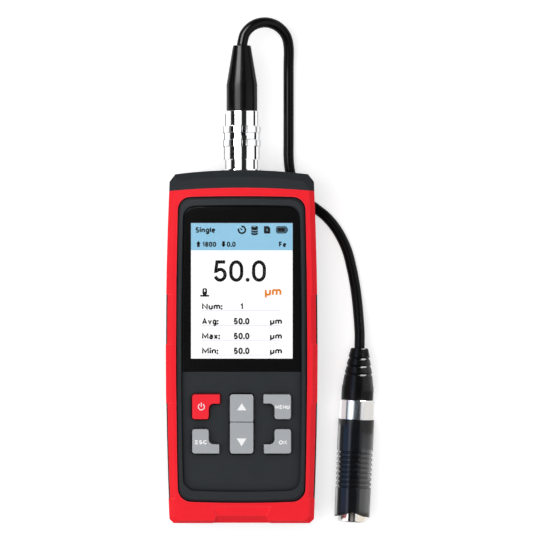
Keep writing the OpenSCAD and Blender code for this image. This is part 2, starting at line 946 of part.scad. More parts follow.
module socket_insert() {
    plug_bore = nose_d - 2 * nose_wall;
    color("#d9d2c0")
        at_socket(socket_face - socket_in)
            difference() {
                union() {
                    cylinder(d = nose_d + 2 * slide_gap - 0.06, h = insert_step);
                    cylinder(d = plug_bore - 0.3, h = insert_step + 5.5);
                }
                pin_sites()
                    translate([0, 0, 2])
                        cylinder(d = pin_d + 0.2, h = 20);
            }
}

module plug_shell() {
    plug_bore = nose_d - 2 * nose_wall;
    color(chrome)
        at_socket(nose_y)
            pipe(nose_d, plug_bore, nose_end - nose_y);
}

module plug_insert() {
    plug_bore = nose_d - 2 * nose_wall;
    color("#d9d2c0")
        at_socket(nose_y + 5.5)
            difference() {
                cylinder(d = plug_bore - 0.06, h = 14);
                pin_sites()
                    translate([0, 0, -1])
                        cylinder(d = pin_d + 0.06, h = 20);
            }
}

module plug_pins() {
    color(brass)
        at_socket(nose_y - 1)
            pin_sites()
                cylinder(d = pin_d, h = 20);
}

module plug_sleeve() {
    color(chrome)
        at_socket(sleeve_y)
            difference() {
                union() {
                    cylinder(d = sleeve_d, h = sleeve_l);
                    for (y = ring_ys)
                        translate([0, 0, y])
                            cylinder(d = ring_d, h = ring_t);
                }
                translate([0, 0, -1])
                    cylinder(d = nose_d + 2 * slide_gap, h = 30);
                translate([0, 0, sleeve_step])
                    cylinder(d = backnut_d + 2 * slide_gap, h = 30);
            }
}

module plug_backnut() {
    color(chrome)
        at_socket(backnut_y)
            difference() {
                cylinder(d = backnut_d, h = backnut_end - backnut_y);
                translate([0, 0, -1])
                    cylinder(d = nose_d + 0.06, h = nose_end - backnut_y + 1.05);
                cylinder(d = spigot_d + 0.06, h = 40);
            }
}

module plug_boot() {
    taper = plug_boot_l - plug_boot_straight;
    color(rubber)
        at_socket(backnut_end) {
            translate([0, 0, -4.2])
                cylinder(d = spigot_d, h = 5);
            cylinder(d = plug_boot_d, h = plug_boot_straight);
            translate([0, 0, plug_boot_straight])
                cylinder(d1 = plug_boot_d, d2 = plug_boot_tip, h = taper);
        }
}

module probe_cable() {
    color(rubber)
        tube(smooth_path(cable_pts, 2), cable_r, cable_sides, [0, 1, 0], probe_dir);
}

// Puts Z along the probe, from the cable end to the tip
module at_probe(z) {
    translate(entry_pt)
        rotate([0, 0, -probe_lean])
            rotate([90, 0, 0])
                translate([0, 0, z])
                    children();
}

module probe_boot() {
    r0 = boot_tip_d / 2;
    r1 = boot_d / 2;
    color(rubber)
        at_probe(0)
            difference() {
                union() {
                    cylinder(r1 = r0, r2 = r1, h = boot_taper_l);
                    translate([0, 0, boot_taper_l])
                        cylinder(r = r1, h = probe_boot_l - boot_taper_l);
                }
                translate([0, 0, probe_boot_l - spine_in])
                    cylinder(d = spine_d + 0.06, h = spine_in + 1);
                for (z = rib_zs)
                    translate([0, 0, z - rib_w / 2])
                        pipe(30, 2 * (r0 + (r1 - r0) * z / boot_taper_l - rib_depth), rib_w);
            }
}

module probe_spine() {
    color(steel)
        at_probe(probe_boot_l - spine_in)
            pipe(spine_d, wire_d, spine_in + ring_l + spine_out);
}

module probe_ring() {
    color(steel)
        at_probe(probe_boot_l)
            pipe(probe_d, spine_d + 0.06, ring_l);
}

module probe_barrel() {
    slope = atan(notch_depth / probe_r);
    color(rubber)
        at_probe(barrel_z)
            difference() {
                union() {
                    cylinder(d = probe_d, h = barrel_straight);
                    translate([0, 0, barrel_straight])
                        cylinder(d1 = probe_d, d2 = barrel_tip_d, h = barrel_l - barrel_straight);
                }
                translate([0, 0, -1])
                    cylinder(d = spine_d + 0.06, h = barrel_l);
                translate([0, 0, barrel_l - lip_l - tip_room])
                    cylinder(d = tip_flange_d + 2 * slide_gap, h = tip_room);
                translate([0, 0, barrel_l - lip_l - 1])
                    cylinder(d = tip_d + 2 * slide_gap, h = lip_l + 2);
                for (i = [0:groove_count - 1])
                    translate([0, 0, groove_z - barrel_z + groove_pitch * i])
                        pipe(30, barrel_d(groove_z - barrel_z + groove_pitch * i) - 2 * groove_depth, 1);
                for (side = [-1, 1])
                    translate([0, 0, barrel_l - notch_depth])
                        rotate([0, -side * slope, 0])
                            translate([side > 0 ? 0 : -20, -20, 0])
                                cube([20, 40, 10]);
            }
}

module sensor_tip() {
    color(chrome)
        at_probe(tip_z - tip_flange_t)
            difference() {
                union() {
                    cylinder(d = tip_flange_d, h = tip_flange_t);
                    cylinder(d = tip_d, h = tip_end - tip_z + tip_flange_t - 0.5);
                    translate([0, 0, tip_end - tip_z + tip_flange_t - 0.5])
                        cylinder(d1 = tip_d, d2 = tip_d - 1, h = 0.5);
                }
                translate([0, 0, tip_end - tip_z + tip_flange_t - 1])
                    cylinder(d = pole_d + 0.06, h = 2);
            }
}

module sensor_pole() {
    color(steel)
        at_probe(tip_end - 1) {
            cylinder(d = pole_d, h = 1.1);
            translate([0, 0, 1.1])
                cylinder(d1 = pole_d, d2 = pole_d - 1, h = 0.3);
        }
}

module probe_spring() {
    color(steel)
        at_probe(spring_z + fit / 2)
            coil(spring_d, spring_wire, tip_z - tip_flange_t - spring_z - fit, 8, 14);
}

rear_shell();
red_frame();
top_cap();
front_panel();
display_window();
display_glass();
display_module();
main_board();
board_screws();
keypad_mat();
key_switches();
power_key();
escape_key();
up_key();
down_key();
menu_key();
ok_key();
battery_door();
battery_door_screw();
battery_cells();
battery_springs();
battery_plates();
case_screws();
socket_shell();
socket_nut();
socket_insert();
plug_shell();
plug_insert();
plug_pins();
plug_sleeve();
plug_backnut();
plug_boot();
probe_cable();
probe_boot();
probe_spine();
probe_ring();
probe_barrel();
sensor_tip();
sensor_pole();
probe_spring();
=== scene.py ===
"""Coating thickness gauge with its corded probe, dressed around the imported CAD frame.

Sizes in the classes are millimetres and Blender works in metres.
X runs across the case, Y towards the socket and Z out of the screen.
"""

from __future__ import annotations

import logging
import math
from dataclasses import dataclass, field
from enum import Enum
from typing import Any, ClassVar, Sequence

import bmesh
import bpy
from mathutils import Matrix, Vector


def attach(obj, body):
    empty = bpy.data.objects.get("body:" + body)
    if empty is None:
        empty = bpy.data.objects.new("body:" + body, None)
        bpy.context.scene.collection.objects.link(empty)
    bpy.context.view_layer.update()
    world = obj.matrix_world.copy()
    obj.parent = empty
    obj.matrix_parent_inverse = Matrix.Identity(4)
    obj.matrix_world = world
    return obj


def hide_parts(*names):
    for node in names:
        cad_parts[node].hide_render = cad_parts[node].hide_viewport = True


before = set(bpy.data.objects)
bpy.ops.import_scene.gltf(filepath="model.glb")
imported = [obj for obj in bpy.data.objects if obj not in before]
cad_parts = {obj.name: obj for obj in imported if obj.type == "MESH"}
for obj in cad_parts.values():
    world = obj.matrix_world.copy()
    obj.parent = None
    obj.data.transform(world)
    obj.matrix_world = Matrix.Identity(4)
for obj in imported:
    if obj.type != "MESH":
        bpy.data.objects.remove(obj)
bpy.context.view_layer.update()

LOG = logging.getLogger("gauge")
MM = 0.001
# Distance between bands of Blender's wave texture at a scale of 1
WAVE_PITCH = 2 * math.pi / 20
# Lean of the probe in degrees, and where the cable enters it
PROBE_LEAN = 2.6
PROBE_ENTRY = (50.45, -1.15, 7.75)
# Every so many columns of a knurl, one is a groove
KNURL_STEP = 6

Point2 = tuple[float, float]
Point3 = tuple[float, float, float]
Loop = list[Point2]
Tree = bpy.types.NodeTree
Socket = bpy.types.NodeSocket
Thing = bpy.types.Object


def linear(code: str) -> tuple[float, float, float, float]:
    """Turn an sRGB hex colour into linear light.

    Args:
        code: Six hex digits after a hash.

    Returns:
        Red, green, blue and an alpha of 1.
    """
    shares = [int(code[i:i + 2], 16) / 255 for i in (1, 3, 5)]
    red, green, blue = [s / 12.92 if s <= 0.04045 else ((s + 0.055) / 1.055) ** 2.4 for s in shares]
    return red, green, blue, 1.0


def add_node(
    tree: Tree,
    kind: str,
    values: dict[str | int, Any] | None = None,
    links: dict[str | int, Socket] | None = None,
    **settings: Any,
) -> bpy.types.Node:
    """Add one node with its settings, input values and incoming links.

    Args:
        tree: Node tree that gets the node.
        kind: Blender's name of the node type.
        values: Constant values by input.
        links: Sockets to join by input.
        **settings: Properties of the node itself.

    Returns:
        The new node.
    """
    node = tree.nodes.new(kind)
    for name, value in settings.items():
        setattr(node, name, value)
    for name, value in (values or {}).items():
        node.inputs[name].default_value = value
    for name, socket in (links or {}).items():
        tree.links.new(socket, node.inputs[name])
    return node


def calc(tree: Tree, operation: str, first: Socket, second: Socket | float = 0.0) -> Socket:
    """Work out one number from two.

    Args:
        tree: Node tree that gets the node.
        operation: Blender's name of the operation.
        first: The first number.
        second: The second number, which may be a constant.

    Returns:
        The result.
    """
    if isinstance(second, Socket):
        return add_node(tree, "ShaderNodeMath", links={0: first, 1: second}, operation=operation).outputs[0]
    return add_node(tree, "ShaderNodeMath", {1: second}, {0: first}, operation=operation).outputs[0]


def scaled(tree: Tree, value: Socket, source: Point2 = (0.0, 1.0), target: Point2 = (0.0, 1.0)) -> Socket:
    """Map a number from one range to another.

    Args:
        tree: Node tree that gets the node.
        value: The number.
        source: Limits between which it lies.
        target: Limits that these become.

    Returns:
        The mapped number.
    """
    bounds = {"From Min": source[0], "From Max": source[1], "To Min": target[0], "To Max": target[1]}
    return add_node(tree, "ShaderNodeMapRange", bounds, {"Value": value}).outputs[0]


def blend(tree: Tree, share: Socket, first: Socket | str, second: Socket | str) -> Socket:
    """Mix two colours.

    Args:
        tree: Node tree that gets the node.
        share: Share of the second colour.
        first: A socket or a hex colour.
        second: A socket or a hex colour.

    Returns:
        The mixed colour.
    """
    values: dict[str | int, Any] = {}
    links: dict[str | int, Socket] = {0: share}
    for slot, colour in ((6, first), (7, second)):
        if isinstance(colour, str):
            values[slot] = linear(colour)
        else:
            links[slot] = colour
    return add_node(tree, "ShaderNodeMix", values, links, data_type="RGBA").outputs[2]


def noise(tree: Tree, place: Socket, size: float, detail: float, roughness: float = 0.5) -> Socket:
    """Give random patches from 0 to 1.

    Args:
        tree: Node tree that gets the node.
        place: Coordinates in metres.
        size: Size of a patch in mm.
        detail: Levels of finer patches.
        roughness: How strong the finer ones are.

    Returns:
        The patches.
    """
    values = {"Scale": 1 / (size * MM), "Detail": detail, "Roughness": roughness}
    return add_node(tree, "ShaderNodeTexNoise", values, {"Vector": place}).outputs["Fac"]


def seen_rays(tree: Tree) -> Socket:
    """Give 1 for rays of the camera, of mirrors and through glass."""
    rays = add_node(tree, "ShaderNodeLightPath").outputs
    mirrored = calc(tree, "MAXIMUM", rays["Is Camera Ray"], rays["Is Glossy Ray"])
    return calc(tree, "MAXIMUM", mirrored, rays["Is Transmission Ray"])


class Relief(Enum):
    """How a surface was made, which sets the pattern of its relief."""

    SPARKED = "pits of a spark-eroded mould"
    TURNED = "rings of a lathe tool"
    DRAWN = "long streaks of an extruder or a press"


@dataclass(frozen=True)
class Finish:
    """A real material with its surface, and how it meets the light.

    A pitch finer than a pixel of the render is drawn coarser, as each finish's comment says.
    """

    name: str
    colour: str
    shade: str
    roughness: float
    ior: float = 1.5
    metallic: float = 0.0
    relief: Relief = Relief.SPARKED
    pitch: float = 0.35
    depth: float = 0.01
    mottle: float = 7.0
    spread: float = 0.05
    # Edge colour and its width in mm: a painted highlight along the edges
    edge_highlight: str = ""
    edge_highlight_width: float = 0.35
    turn: float = 0.0
    specular: float = 0.5
    # Reach in mm of the painted shade in hollows, or 0 for none
    shade_reach: float = 0.0
    made: ClassVar[dict[str, bpy.types.Material]] = {}
    # Likeness of face and rounded normal at which the painted edge highlight starts and ends, and its greatest
    # share
    highlight_alike: ClassVar[Point2] = (0.99, 0.85)
    highlight_share: ClassVar[float] = 0.6
    # Openness of a hollow at which the painted shade is darkest and at which it stops, and the colour of the
    # darkest painted shade
    shade_openness: ClassVar[Point2] = (0.5, 0.95)
    dark: ClassVar[str] = "#0c0c0d"
    # Length of a drawn streak against its width
    streak: ClassVar[float] = 25.0

    def material(self) -> bpy.types.Material:
        """Give the Blender material, built at its first use."""
        if self.name not in self.made:
            material = bpy.data.materials.new(self.name)
            material.use_nodes = True
            material.node_tree.nodes.clear()
            shader = self.shade_nodes(material.node_tree)
            add_node(material.node_tree, "ShaderNodeOutputMaterial", links={"Surface": shader})
            self.made[self.name] = material
        return self.made[self.name]

    def places(self, tree: Tree) -> Socket:
        """Give the piece's own coordinates in metres, turned to the lathe axis."""
        place = add_node(tree, "ShaderNodeTexCoord").outputs["Object"]
        rotation = {"Rotation": (0, 0, math.radians(self.turn))}
        return add_node(tree, "ShaderNodeMapping", rotation, {"Vector": place}).outputs["Vector"]

    def mottling(self, tree: Tree, place: Socket) -> Socket:
        """Mix the two colours in soft patches.

        Args:
            tree: The material's nodes.
            place: Coordinates in metres.

        Returns:
            The mottled colour.
        """
        return blend(tree, noise(tree, place, self.mottle, 4.0), self.colour, self.shade)

    def paint_edge_highlight(self, tree: Tree, colour: Socket) -> Socket:
        """Paint a highlight along the edges by lightening the colour there.

        Args:
            tree: The material's nodes.
            colour: Colour of the surface without the painted highlight.

        Returns:
            The colour with its painted edge highlight.
        """
        if not self.edge_highlight:
            return colour
        face = add_node(tree, "ShaderNodeNewGeometry").outputs["Normal"]
        rounded = add_node(tree, "ShaderNodeBevel", {"Radius": self.edge_highlight_width * MM}, samples=6)
        normals = {0: face, 1: rounded.outputs["Normal"]}
        alike = add_node(tree, "ShaderNodeVectorMath", links=normals, operation="DOT_PRODUCT")
        edge = scaled(tree, alike.outputs["Value"], self.highlight_alike, (0.0, self.highlight_share))
        return blend(tree, edge, colour, self.edge_highlight)

    def relief_height(self, tree: Tree, place: Socket) -> Socket:
        """Give the height of the pits, rings or streaks.

        Args:
            tree: The material's nodes.
            place: Coordinates in metres.

        Returns:
            A height from 0 to 1.
        """
        if self.relief is Relief.SPARKED:
            return noise(tree, place, self.pitch, 3.0, 0.6)
        if self.relief is Relief.TURNED:
            values = {"Scale": WAVE_PITCH / (self.pitch * MM), "Distortion": 0.4, "Detail": 2.0}
            rings = add_node(tree, "ShaderNodeTexWave", values, {"Vector": place}, bands_direction="Y")
            return rings.outputs["Fac"]
        stretched = add_node(tree, "ShaderNodeMapping", {"Scale": (1, 1 / self.streak, 1)}, {"Vector": place})
        return noise(tree, stretched.outputs["Vector"], self.pitch, 2.0)

    def shade_nodes(self, tree: Tree) -> Socket:
        """Build the shader with its colour, roughness and relief.

        Args:
            tree: The material's nodes.

        Returns:
            The shader's output.
        """
        place = self.places(tree)
        # The mottled colour gets a painted highlight along its edges
        colour = self.paint_edge_highlight(tree, self.mottling(tree, place))
        smudges = noise(tree, place, self.mottle / 2, 5.0)
        rough = scaled(tree, smudges, target=(self.roughness - self.spread, self.roughness + self.spread))
        height = self.relief_height(tree, place)
        bump = add_node(tree, "ShaderNodeBump", {"Distance": self.depth * MM}, {"Height": height})
        values: dict[str | int, Any] = {"Metallic": self.metallic, "Specular IOR Level": self.specular}
        links = {"Base Color": colour, "Roughness": rough, "Normal": bump.outputs["Normal"]}
        if self.metallic < 0.5:
            values["IOR"] = self.ior
        # Hollows get painted shade in colour and gloss
        if self.shade_reach:
            self.paint_hollow_shade(tree, links)
        return add_node(tree, "ShaderNodeBsdfPrincipled", values, links).outputs["BSDF"]

    def paint_hollow_shade(self, tree: Tree, links: dict[str | int, Any]) -> None:
        """Paint shade into hollows as narrow as this finish says, darkening their colour and gloss.

        Args:
            tree: The material's nodes.
            links: Sockets for the surface shader, of which two are replaced.
        """
        # Ambient occlusion sets how much painted shade darkens colour and gloss
        room = add_node(tree, "ShaderNodeAmbientOcclusion", {"Distance": self.shade_reach * MM}, samples=8)
        unshaded = scaled(tree, room.outputs["AO"], self.shade_openness)
        links["Specular IOR Level"] = calc(tree, "MULTIPLY", unshaded, self.specular)
        links["Base Color"] = blend(tree, unshaded, self.dark, links["Base Color"])


@dataclass(frozen=True)
class PrintedWindow(Finish):
    """Clear cast acrylic with a black border printed on it, glossy all over."""

    clear_left: float = -21.42
    clear_right: float = 21.54
    clear_low: float = -5.08
    clear_high: float = 52.22
    soft: float = 0.05

    def inside(self, tree: Tree, value: Socket, low: float, high: float) -> Socket:
        """Give 1 where a coordinate lies between two limits.

        Args:
            tree: The material's nodes.
            value: One coordinate in metres.
            low: Lower limit in mm.
            high: Upper limit in mm.

        Returns:
            1 inside and 0 outside, with a soft edge.
        """
        off = calc(tree, "ABSOLUTE", calc(tree, "SUBTRACT", value, (low + high) / 2 * MM))
        half = (high - low) / 2
        return scaled(tree, off, ((half - self.soft) * MM, (half + self.soft) * MM), (1.0, 0.0))

    def shade_nodes(self, tree: Tree) -> Socket:
        """Build the shader: print round the edge, clear acrylic in the middle."""
        place = self.places(tree)
        axes = add_node(tree, "ShaderNodeSeparateXYZ", links={"Vector": place})
        across = self.inside(tree, axes.outputs["X"], self.clear_left, self.clear_right)
        along = self.inside(tree, axes.outputs["Y"], self.clear_low, self.clear_high)
        clear = calc(tree, "MULTIPLY", across, along)
        colour = blend(tree, clear, self.mottling(tree, place), "#ffffff")
        smears = noise(tree, place, self.mottle, 4.0)
        rough = scaled(tree, smears, target=(self.roughness, self.roughness + self.spread))
        links = {"Base Color": colour, "Roughness": rough, "Transmission Weight": clear}
        return add_node(tree, "ShaderNodeBsdfPrincipled", {"IOR": self.ior}, links).outputs["BSDF"]


@dataclass(frozen=True)
class LitPixels(Finish):
    """Backlit colour pixels of the display, with the dark grid between them."""

    glow: float = 1.08
    grid: float = 0.06
    specular: float = 0.0
    off: ClassVar[str] = "#101010"

    def shade_nodes(self, tree: Tree) -> Socket:
        """Build the shader: an even glow, cut by the pixel grid."""
        place = self.places(tree)
        scale = {"Scale": WAVE_PITCH / (self.pitch * MM)}
        columns, rows = (
            add_node(tree, "ShaderNodeTexWave", scale, {"Vector": place}, bands_direction=way).outputs["Fac"]
            for way in ("X", "Y")
        )
        fade = scaled(tree, calc(tree, "MULTIPLY", columns, rows), target=(1.0 - self.grid, 1.0))
        values = {"Base Color": linear(self.off), "Roughness": self.roughness,
                  "Specular IOR Level": self.specular, "Emission Strength": self.glow}
        links = {"Emission Color": blend(tree, fade, "#000000", self.colour)}
        return add_node(tree, "ShaderNodeBsdfPrincipled", values, links).outputs["BSDF"]


@dataclass(frozen=True)
class StudioFloor(Finish):
    """Matt white paper sweep that keeps the shadow and stays white to the camera."""

    lift: float = 0.56

    def shade_nodes(self, tree: Tree) -> Socket:
        """Build the shader: matt paper with a little light of its own for camera, mirror and glass rays."""
        colour = self.mottling(tree, self.places(tree))
        paper = add_node(tree, "ShaderNodeBsdfDiffuse", links={"Color": colour})
        level = calc(tree, "MULTIPLY", seen_rays(tree), self.lift)
        glow = add_node(tree, "ShaderNodeEmission", links={"Strength": level})
        both = {0: paper.outputs[0], 1: glow.outputs[0]}
        return add_node(tree, "ShaderNodeAddShader", links=both).outputs[0]


@dataclass(frozen=True)
class DarkCloth(Finish):
    """Cloth of a dark studio card, a little uneven, seen from its front only."""

    def shade_nodes(self, tree: Tree) -> Socket:
        """Build the shader: the cloth's mottled colour in even light, clear from behind."""
        colour = self.mottling(tree, self.places(tree))
        light = add_node(tree, "ShaderNodeEmission", {"Strength": 1.0}, {"Color": colour})
        behind = add_node(tree, "ShaderNodeNewGeometry").outputs["Backfacing"]
        clear = add_node(tree, "ShaderNodeBsdfTransparent")
        links = {0: behind, 1: light.outputs[0], 2: clear.outputs[0]}
        return add_node(tree, "ShaderNodeMixShader", links=links).outputs[0]


@dataclass(frozen=True)
class LampCloth:
    """Cloth front of a small studio light: its colour, its glow and the reach of its grid in degrees."""

    tone: str
    glow: float
    reach: float


def pixels(name: str, code: str, glow: float = LitPixels.glow) -> LitPixels:
    """Give lit pixels of one colour: 240 columns on 43.2 mm, so 0.18 mm each, drawn as they are."""
    return LitPixels("display_pixels_" + name, code, code, 0.3, pitch=0.18, glow=glow)


# Finishes with an edge colour get a painted highlight along their edges, and those with a reach in hollows get
# painted shade there.
# Moulded ABS from a spark-eroded tool: dull charcoal with a fine even grain.
# Real pits are 0.08 mm, drawn at 0.35.
CASE_GREY = Finish("abs_charcoal_spark_moulded", "#2a2d30", "#25282a", 0.5, 1.54, depth=0.012,
                   edge_highlight="#4a4e51", specular=0.3)
# The same ABS in a lighter batch for the end cap, quite matt.
CAP_GREY = Finish("abs_grey_spark_moulded", "#383b3e", "#333639", 0.46, 1.54, depth=0.01,
                  edge_highlight="#55595c", specular=0.0)
# Satin moulded ABS in signal red: clear colour, hardly any gloss, with a painted highlight along its edges.
CASE_RED = Finish("abs_red_satin_moulded", "#ff2a35", "#fb2732", 0.36, 1.54, pitch=0.5, depth=0.005,
                  edge_highlight="#f96470", specular=0.05)
# Panel ABS with a finer grain than the case, so that it looks a little smoother, with painted shade in its gaps.
# Real pits are 0.05 mm, drawn at 0.3.
PANEL_GREY = Finish("abs_panel_fine_moulded", "#323538", "#2e3134", 0.48, 1.54, pitch=0.3, depth=0.008,
                    edge_highlight="#484c4f", specular=0.08, shade_reach=4.0)
# Cast acrylic, printed on the back: deep black gloss with a few finger smears.
WINDOW = PrintedWindow("acrylic_black_printed", "#111111", "#141414", 0.04, 1.49, mottle=12, spread=0.05)
# Silicone rubber keys, moulded and lacquered: matt light grey with a soft sheen.
KEY_GREY = Finish("silicone_grey_lacquered", "#b0b4b8", "#abafb3", 0.5, 1.41, pitch=0.4, depth=0.006,
                  mottle=4, edge_highlight="#c4c8cb", specular=0.3)
# The same silicone in the case's red.
KEY_RED = Finish("silicone_red_lacquered", "#ff2f3c", "#fa2b38", 0.48, 1.41, pitch=0.4, depth=0.006,
                 mottle=4, edge_highlight="#f66a72", specular=0.2)
# Pad-printed white ink on the keys: opaque, slightly uneven, half gloss. On red it looks a little pink.
KEY_INK = Finish("ink_white_pad_printed", "#ffffff", "#fcfcfc", 0.42, 1.48, pitch=0.25,
                 depth=0.004, mottle=1.2)
KEY_INK_PINK = Finish("ink_white_on_red_printed", "#fbeaf0", "#f3dbe4", 0.42, 1.48, pitch=0.25, depth=0.004,
                      mottle=1.2)
# Moulded PVC of the two strain reliefs: near black, soft gloss.
BOOT_BLACK = Finish("pvc_black_moulded", "#0c0c0d", "#101011", 0.2, 1.53, pitch=0.5,
                    depth=0.004, specular=0.1)
# Extruded PVC jacket of the cable: black, smooth, with faint long streaks.
CABLE_BLACK = Finish("pvc_black_extruded", "#0b0b0c", "#0f0f10", 0.2, 1.53, relief=Relief.DRAWN, pitch=0.4,
                     depth=0.002, specular=0.1)
# Brass turned on a lathe and chrome plated: a near mirror. Tool rings of 0.05 mm are drawn at 0.3.
CHROME = Finish("brass_chrome_plated", "#f6f7f8", "#f1f2f4", 0.06, metallic=1.0, relief=Relief.TURNED,
                pitch=0.3, depth=0.0002, spread=0.02)
# Aluminium turned and left satin, with visible fine rings, which lean with the probe.
RING_SILVER = Finish("aluminium_satin_turned", "#d6d6d8", "#cfcfd2", 0.2, metallic=1.0, relief=Relief.TURNED,
                     pitch=0.35, depth=0.0006, spread=0.04, turn=PROBE_LEAN)
# Aluminium anodised black: dark oxide with a cool satin gloss over fine turned rings, with painted shade dulling
# its grooves.
BARREL_BLACK = Finish("aluminium_black_anodised", "#0f1013", "#131418", 0.22, 1.5, relief=Relief.TURNED,
                      pitch=0.35, depth=0.0008, turn=PROBE_LEAN, specular=0.27, shade_reach=0.8)
# Hard chrome on the sensor head, ground and lapped: a soft mirror.
SENSOR_CHROME = Finish("steel_hard_chromed", "#dcdad8", "#d2d0ce", 0.14, metallic=1.0, relief=Relief.TURNED,
                       pitch=0.3, depth=0.0004, spread=0.03, turn=PROBE_LEAN)
# Tool steel of the pole, polished to a mirror.
POLE_STEEL = Finish("steel_tool_polished", "#cfd0d2", "#c6c7c9", 0.1, metallic=1.0, relief=Relief.TURNED,
                    pitch=0.2, depth=0.0002, spread=0.02, turn=PROBE_LEAN)
# Steel screws, springs and plates with bright zinc: greyish, a little blue, faint press streaks.
ZINC = Finish("steel_bright_zinc_plated", "#b4b8bd", "#a6abb2", 0.3, metallic=1.0, relief=Relief.DRAWN,
              pitch=0.4, depth=0.001)
# Brass pins with a thin gold flash: warm and bright.
PIN_GOLD = Finish("brass_gold_flashed", "#d8b25c", "#cfa64f", 0.22, metallic=1.0, relief=Relief.TURNED,
                  pitch=0.2, depth=0.0003)
# Glass-fibre board under green solder mask: glossy, with the weave just showing.
BOARD = Finish("glass_fibre_board_solder_masked", "#1d5236", "#184a30", 0.3, 1.55, pitch=0.6, depth=0.004,
               mottle=2.5)
# Silicone sealing mat, dark and matt.
MAT = Finish("silicone_dark_moulded", "#232528", "#1e2023", 0.6, 1.41, pitch=0.5, depth=0.008)
# Shrink-wrapped cell jacket: thin glossy film over steel.
CELL = Finish("steel_film_wrapped", "#376694", "#2f5b87", 0.25, 1.5, relief=Relief.DRAWN, pitch=0.8,
              depth=0.002)
# Ivory engineering plastic of the contact carriers.
CARRIER = Finish("polyamide_ivory_moulded", "#d9d2c0", "#cfc8b5", 0.45, 1.53, pitch=0.3, depth=0.005)
# Display glass with its polariser: dark, smooth, slightly green.
LCD_GLASS = Finish("float_glass_polarised", "#2b302f", "#272c2b", 0.12, 1.52, pitch=1.0, depth=0.0005)
# Lit pixels of the readout, each colour with its fine dark grid.
PIXELS_WHITE = pixels("white", "#ffffff", 1.2)
PIXELS_BLUE = pixels("blue", "#95cce9")
PIXELS_BLACK = pixels("black", "#050506")
PIXELS_ORANGE = pixels("orange", "#e8820e")
PIXELS_SLATE = pixels("slate", "#3d5866")
PIXELS_RULE = pixels("lilac", "#efedf8")
# Matt white paper of the studio floor.
PAPER = StudioFloor("paper_white_matt", "#dcdcdc", "#dadada", 0.9, mottle=400)
# Cloth of the studio's dark cards, which metal mirrors as dark streaks: velvet, black and slate.
VELVET = DarkCloth("velvet_black_woven", "#141414", "#171717", 1.0, mottle=60)
CLOTH_DUSK = DarkCloth("cloth_black_woven", "#2b2b2b", "#272727", 1.0, mottle=60)
CLOTH_SLATE = DarkCloth("cloth_slate_woven", "#565f67", "#525b63", 1.0, mottle=60)
# Fronts of small lights that only gloss mirrors: nearly white at six levels, three warm ones, two cool ones.
CLOTH_SOFT = LampCloth("#f4f1ea", 1.2, 55.0)
CLOTH_PLAIN = LampCloth("#ffffff", 2.2, 55.0)
CLOTH_EVEN = LampCloth("#ffffff", 4.0, 55.0)
CLOTH_BRIGHT = LampCloth("#ffffff", 10.0, 56.0)
CLOTH_GLARE = LampCloth("#ffffff", 26.0, 56.0)
CLOTH_SUN = LampCloth("#ffffff", 60.0, 50.0)
CLOTH_WARM = LampCloth("#b9b4b0", 0.8, 62.0)
CLOTH_ROSE = LampCloth("#e6dddb", 1.3, 62.0)
CLOTH_CREAM = LampCloth("#f7f1e2", 1.25, 55.0)
CLOTH_COOL = LampCloth("#dcecf8", 1.5, 62.0)
CLOTH_BLUE = LampCloth("#8db4ea", 2.0, 62.0)


class Softener:
    """Modifiers that join a CAD node's split vertices, round its edges and smooth its shading."""

    merge: ClassVar[float] = 0.01
    flat: ClassVar[float] = 0.4
    angle: ClassVar[float] = 25.0
    segments: ClassVar[int] = 3
    weight: ClassVar[int] = 60
    tree: ClassVar[Tree | None] = None

    @classmethod
    def joined(cls) -> Tree:
        """Give the node group that merges vertices and shades smooth, built at its first use."""
        if cls.tree is None:
            tree = bpy.data.node_groups.new("merge_and_smooth", "GeometryNodeTree")
            tree.interface.new_socket("Geometry", in_out="INPUT", socket_type="NodeSocketGeometry")
            tree.interface.new_socket("Geometry", in_out="OUTPUT", socket_type="NodeSocketGeometry")
            enter = add_node(tree, "NodeGroupInput")
            distance = {"Distance": cls.merge * MM}
            merged = add_node(tree, "GeometryNodeMergeByDistance", distance, {0: enter.outputs[0]})
            smooth = add_node(tree, "GeometryNodeSetShadeSmooth", links={0: merged.outputs[0]})
            add_node(tree, "NodeGroupOutput", links={0: smooth.outputs[0]})
            cls.tree = tree
        return cls.tree

    @classmethod
    def apply(cls, obj: Thing, width: float) -> None:
        """Round the edges of a piece.

        Args:
            obj: Piece that gets the modifiers.
            width: Width of the rounding in mm.
        """
        join = obj.modifiers.new("join", "NODES")
        join.node_group = cls.joined()
        flat = obj.modifiers.new("flat_faces", "DECIMATE")
        flat.decimate_type = "DISSOLVE"
        flat.angle_limit = math.radians(cls.flat)
        cls.bevel(obj, width)

    @classmethod
    def bevel(cls, obj: Thing, width: float) -> None:
        """Add only the rounding and the weighted normals.

        Args:
            obj: Piece that gets the modifiers.
            width: Width of the rounding in mm.
        """
        edge = obj.modifiers.new("round_edges", "BEVEL")
        edge.width = width * MM
        edge.segments = cls.segments
        edge.limit_method = "ANGLE"
        edge.angle_limit = math.radians(cls.angle)
        edge.miter_outer = "MITER_SHARP"
        edge.face_strength_mode = "FSTR_ALL"
        normals = obj.modifiers.new("even_normals", "WEIGHTED_NORMAL")
        normals.keep_sharp = False
        normals.use_face_influence = True
        normals.weight = cls.weight


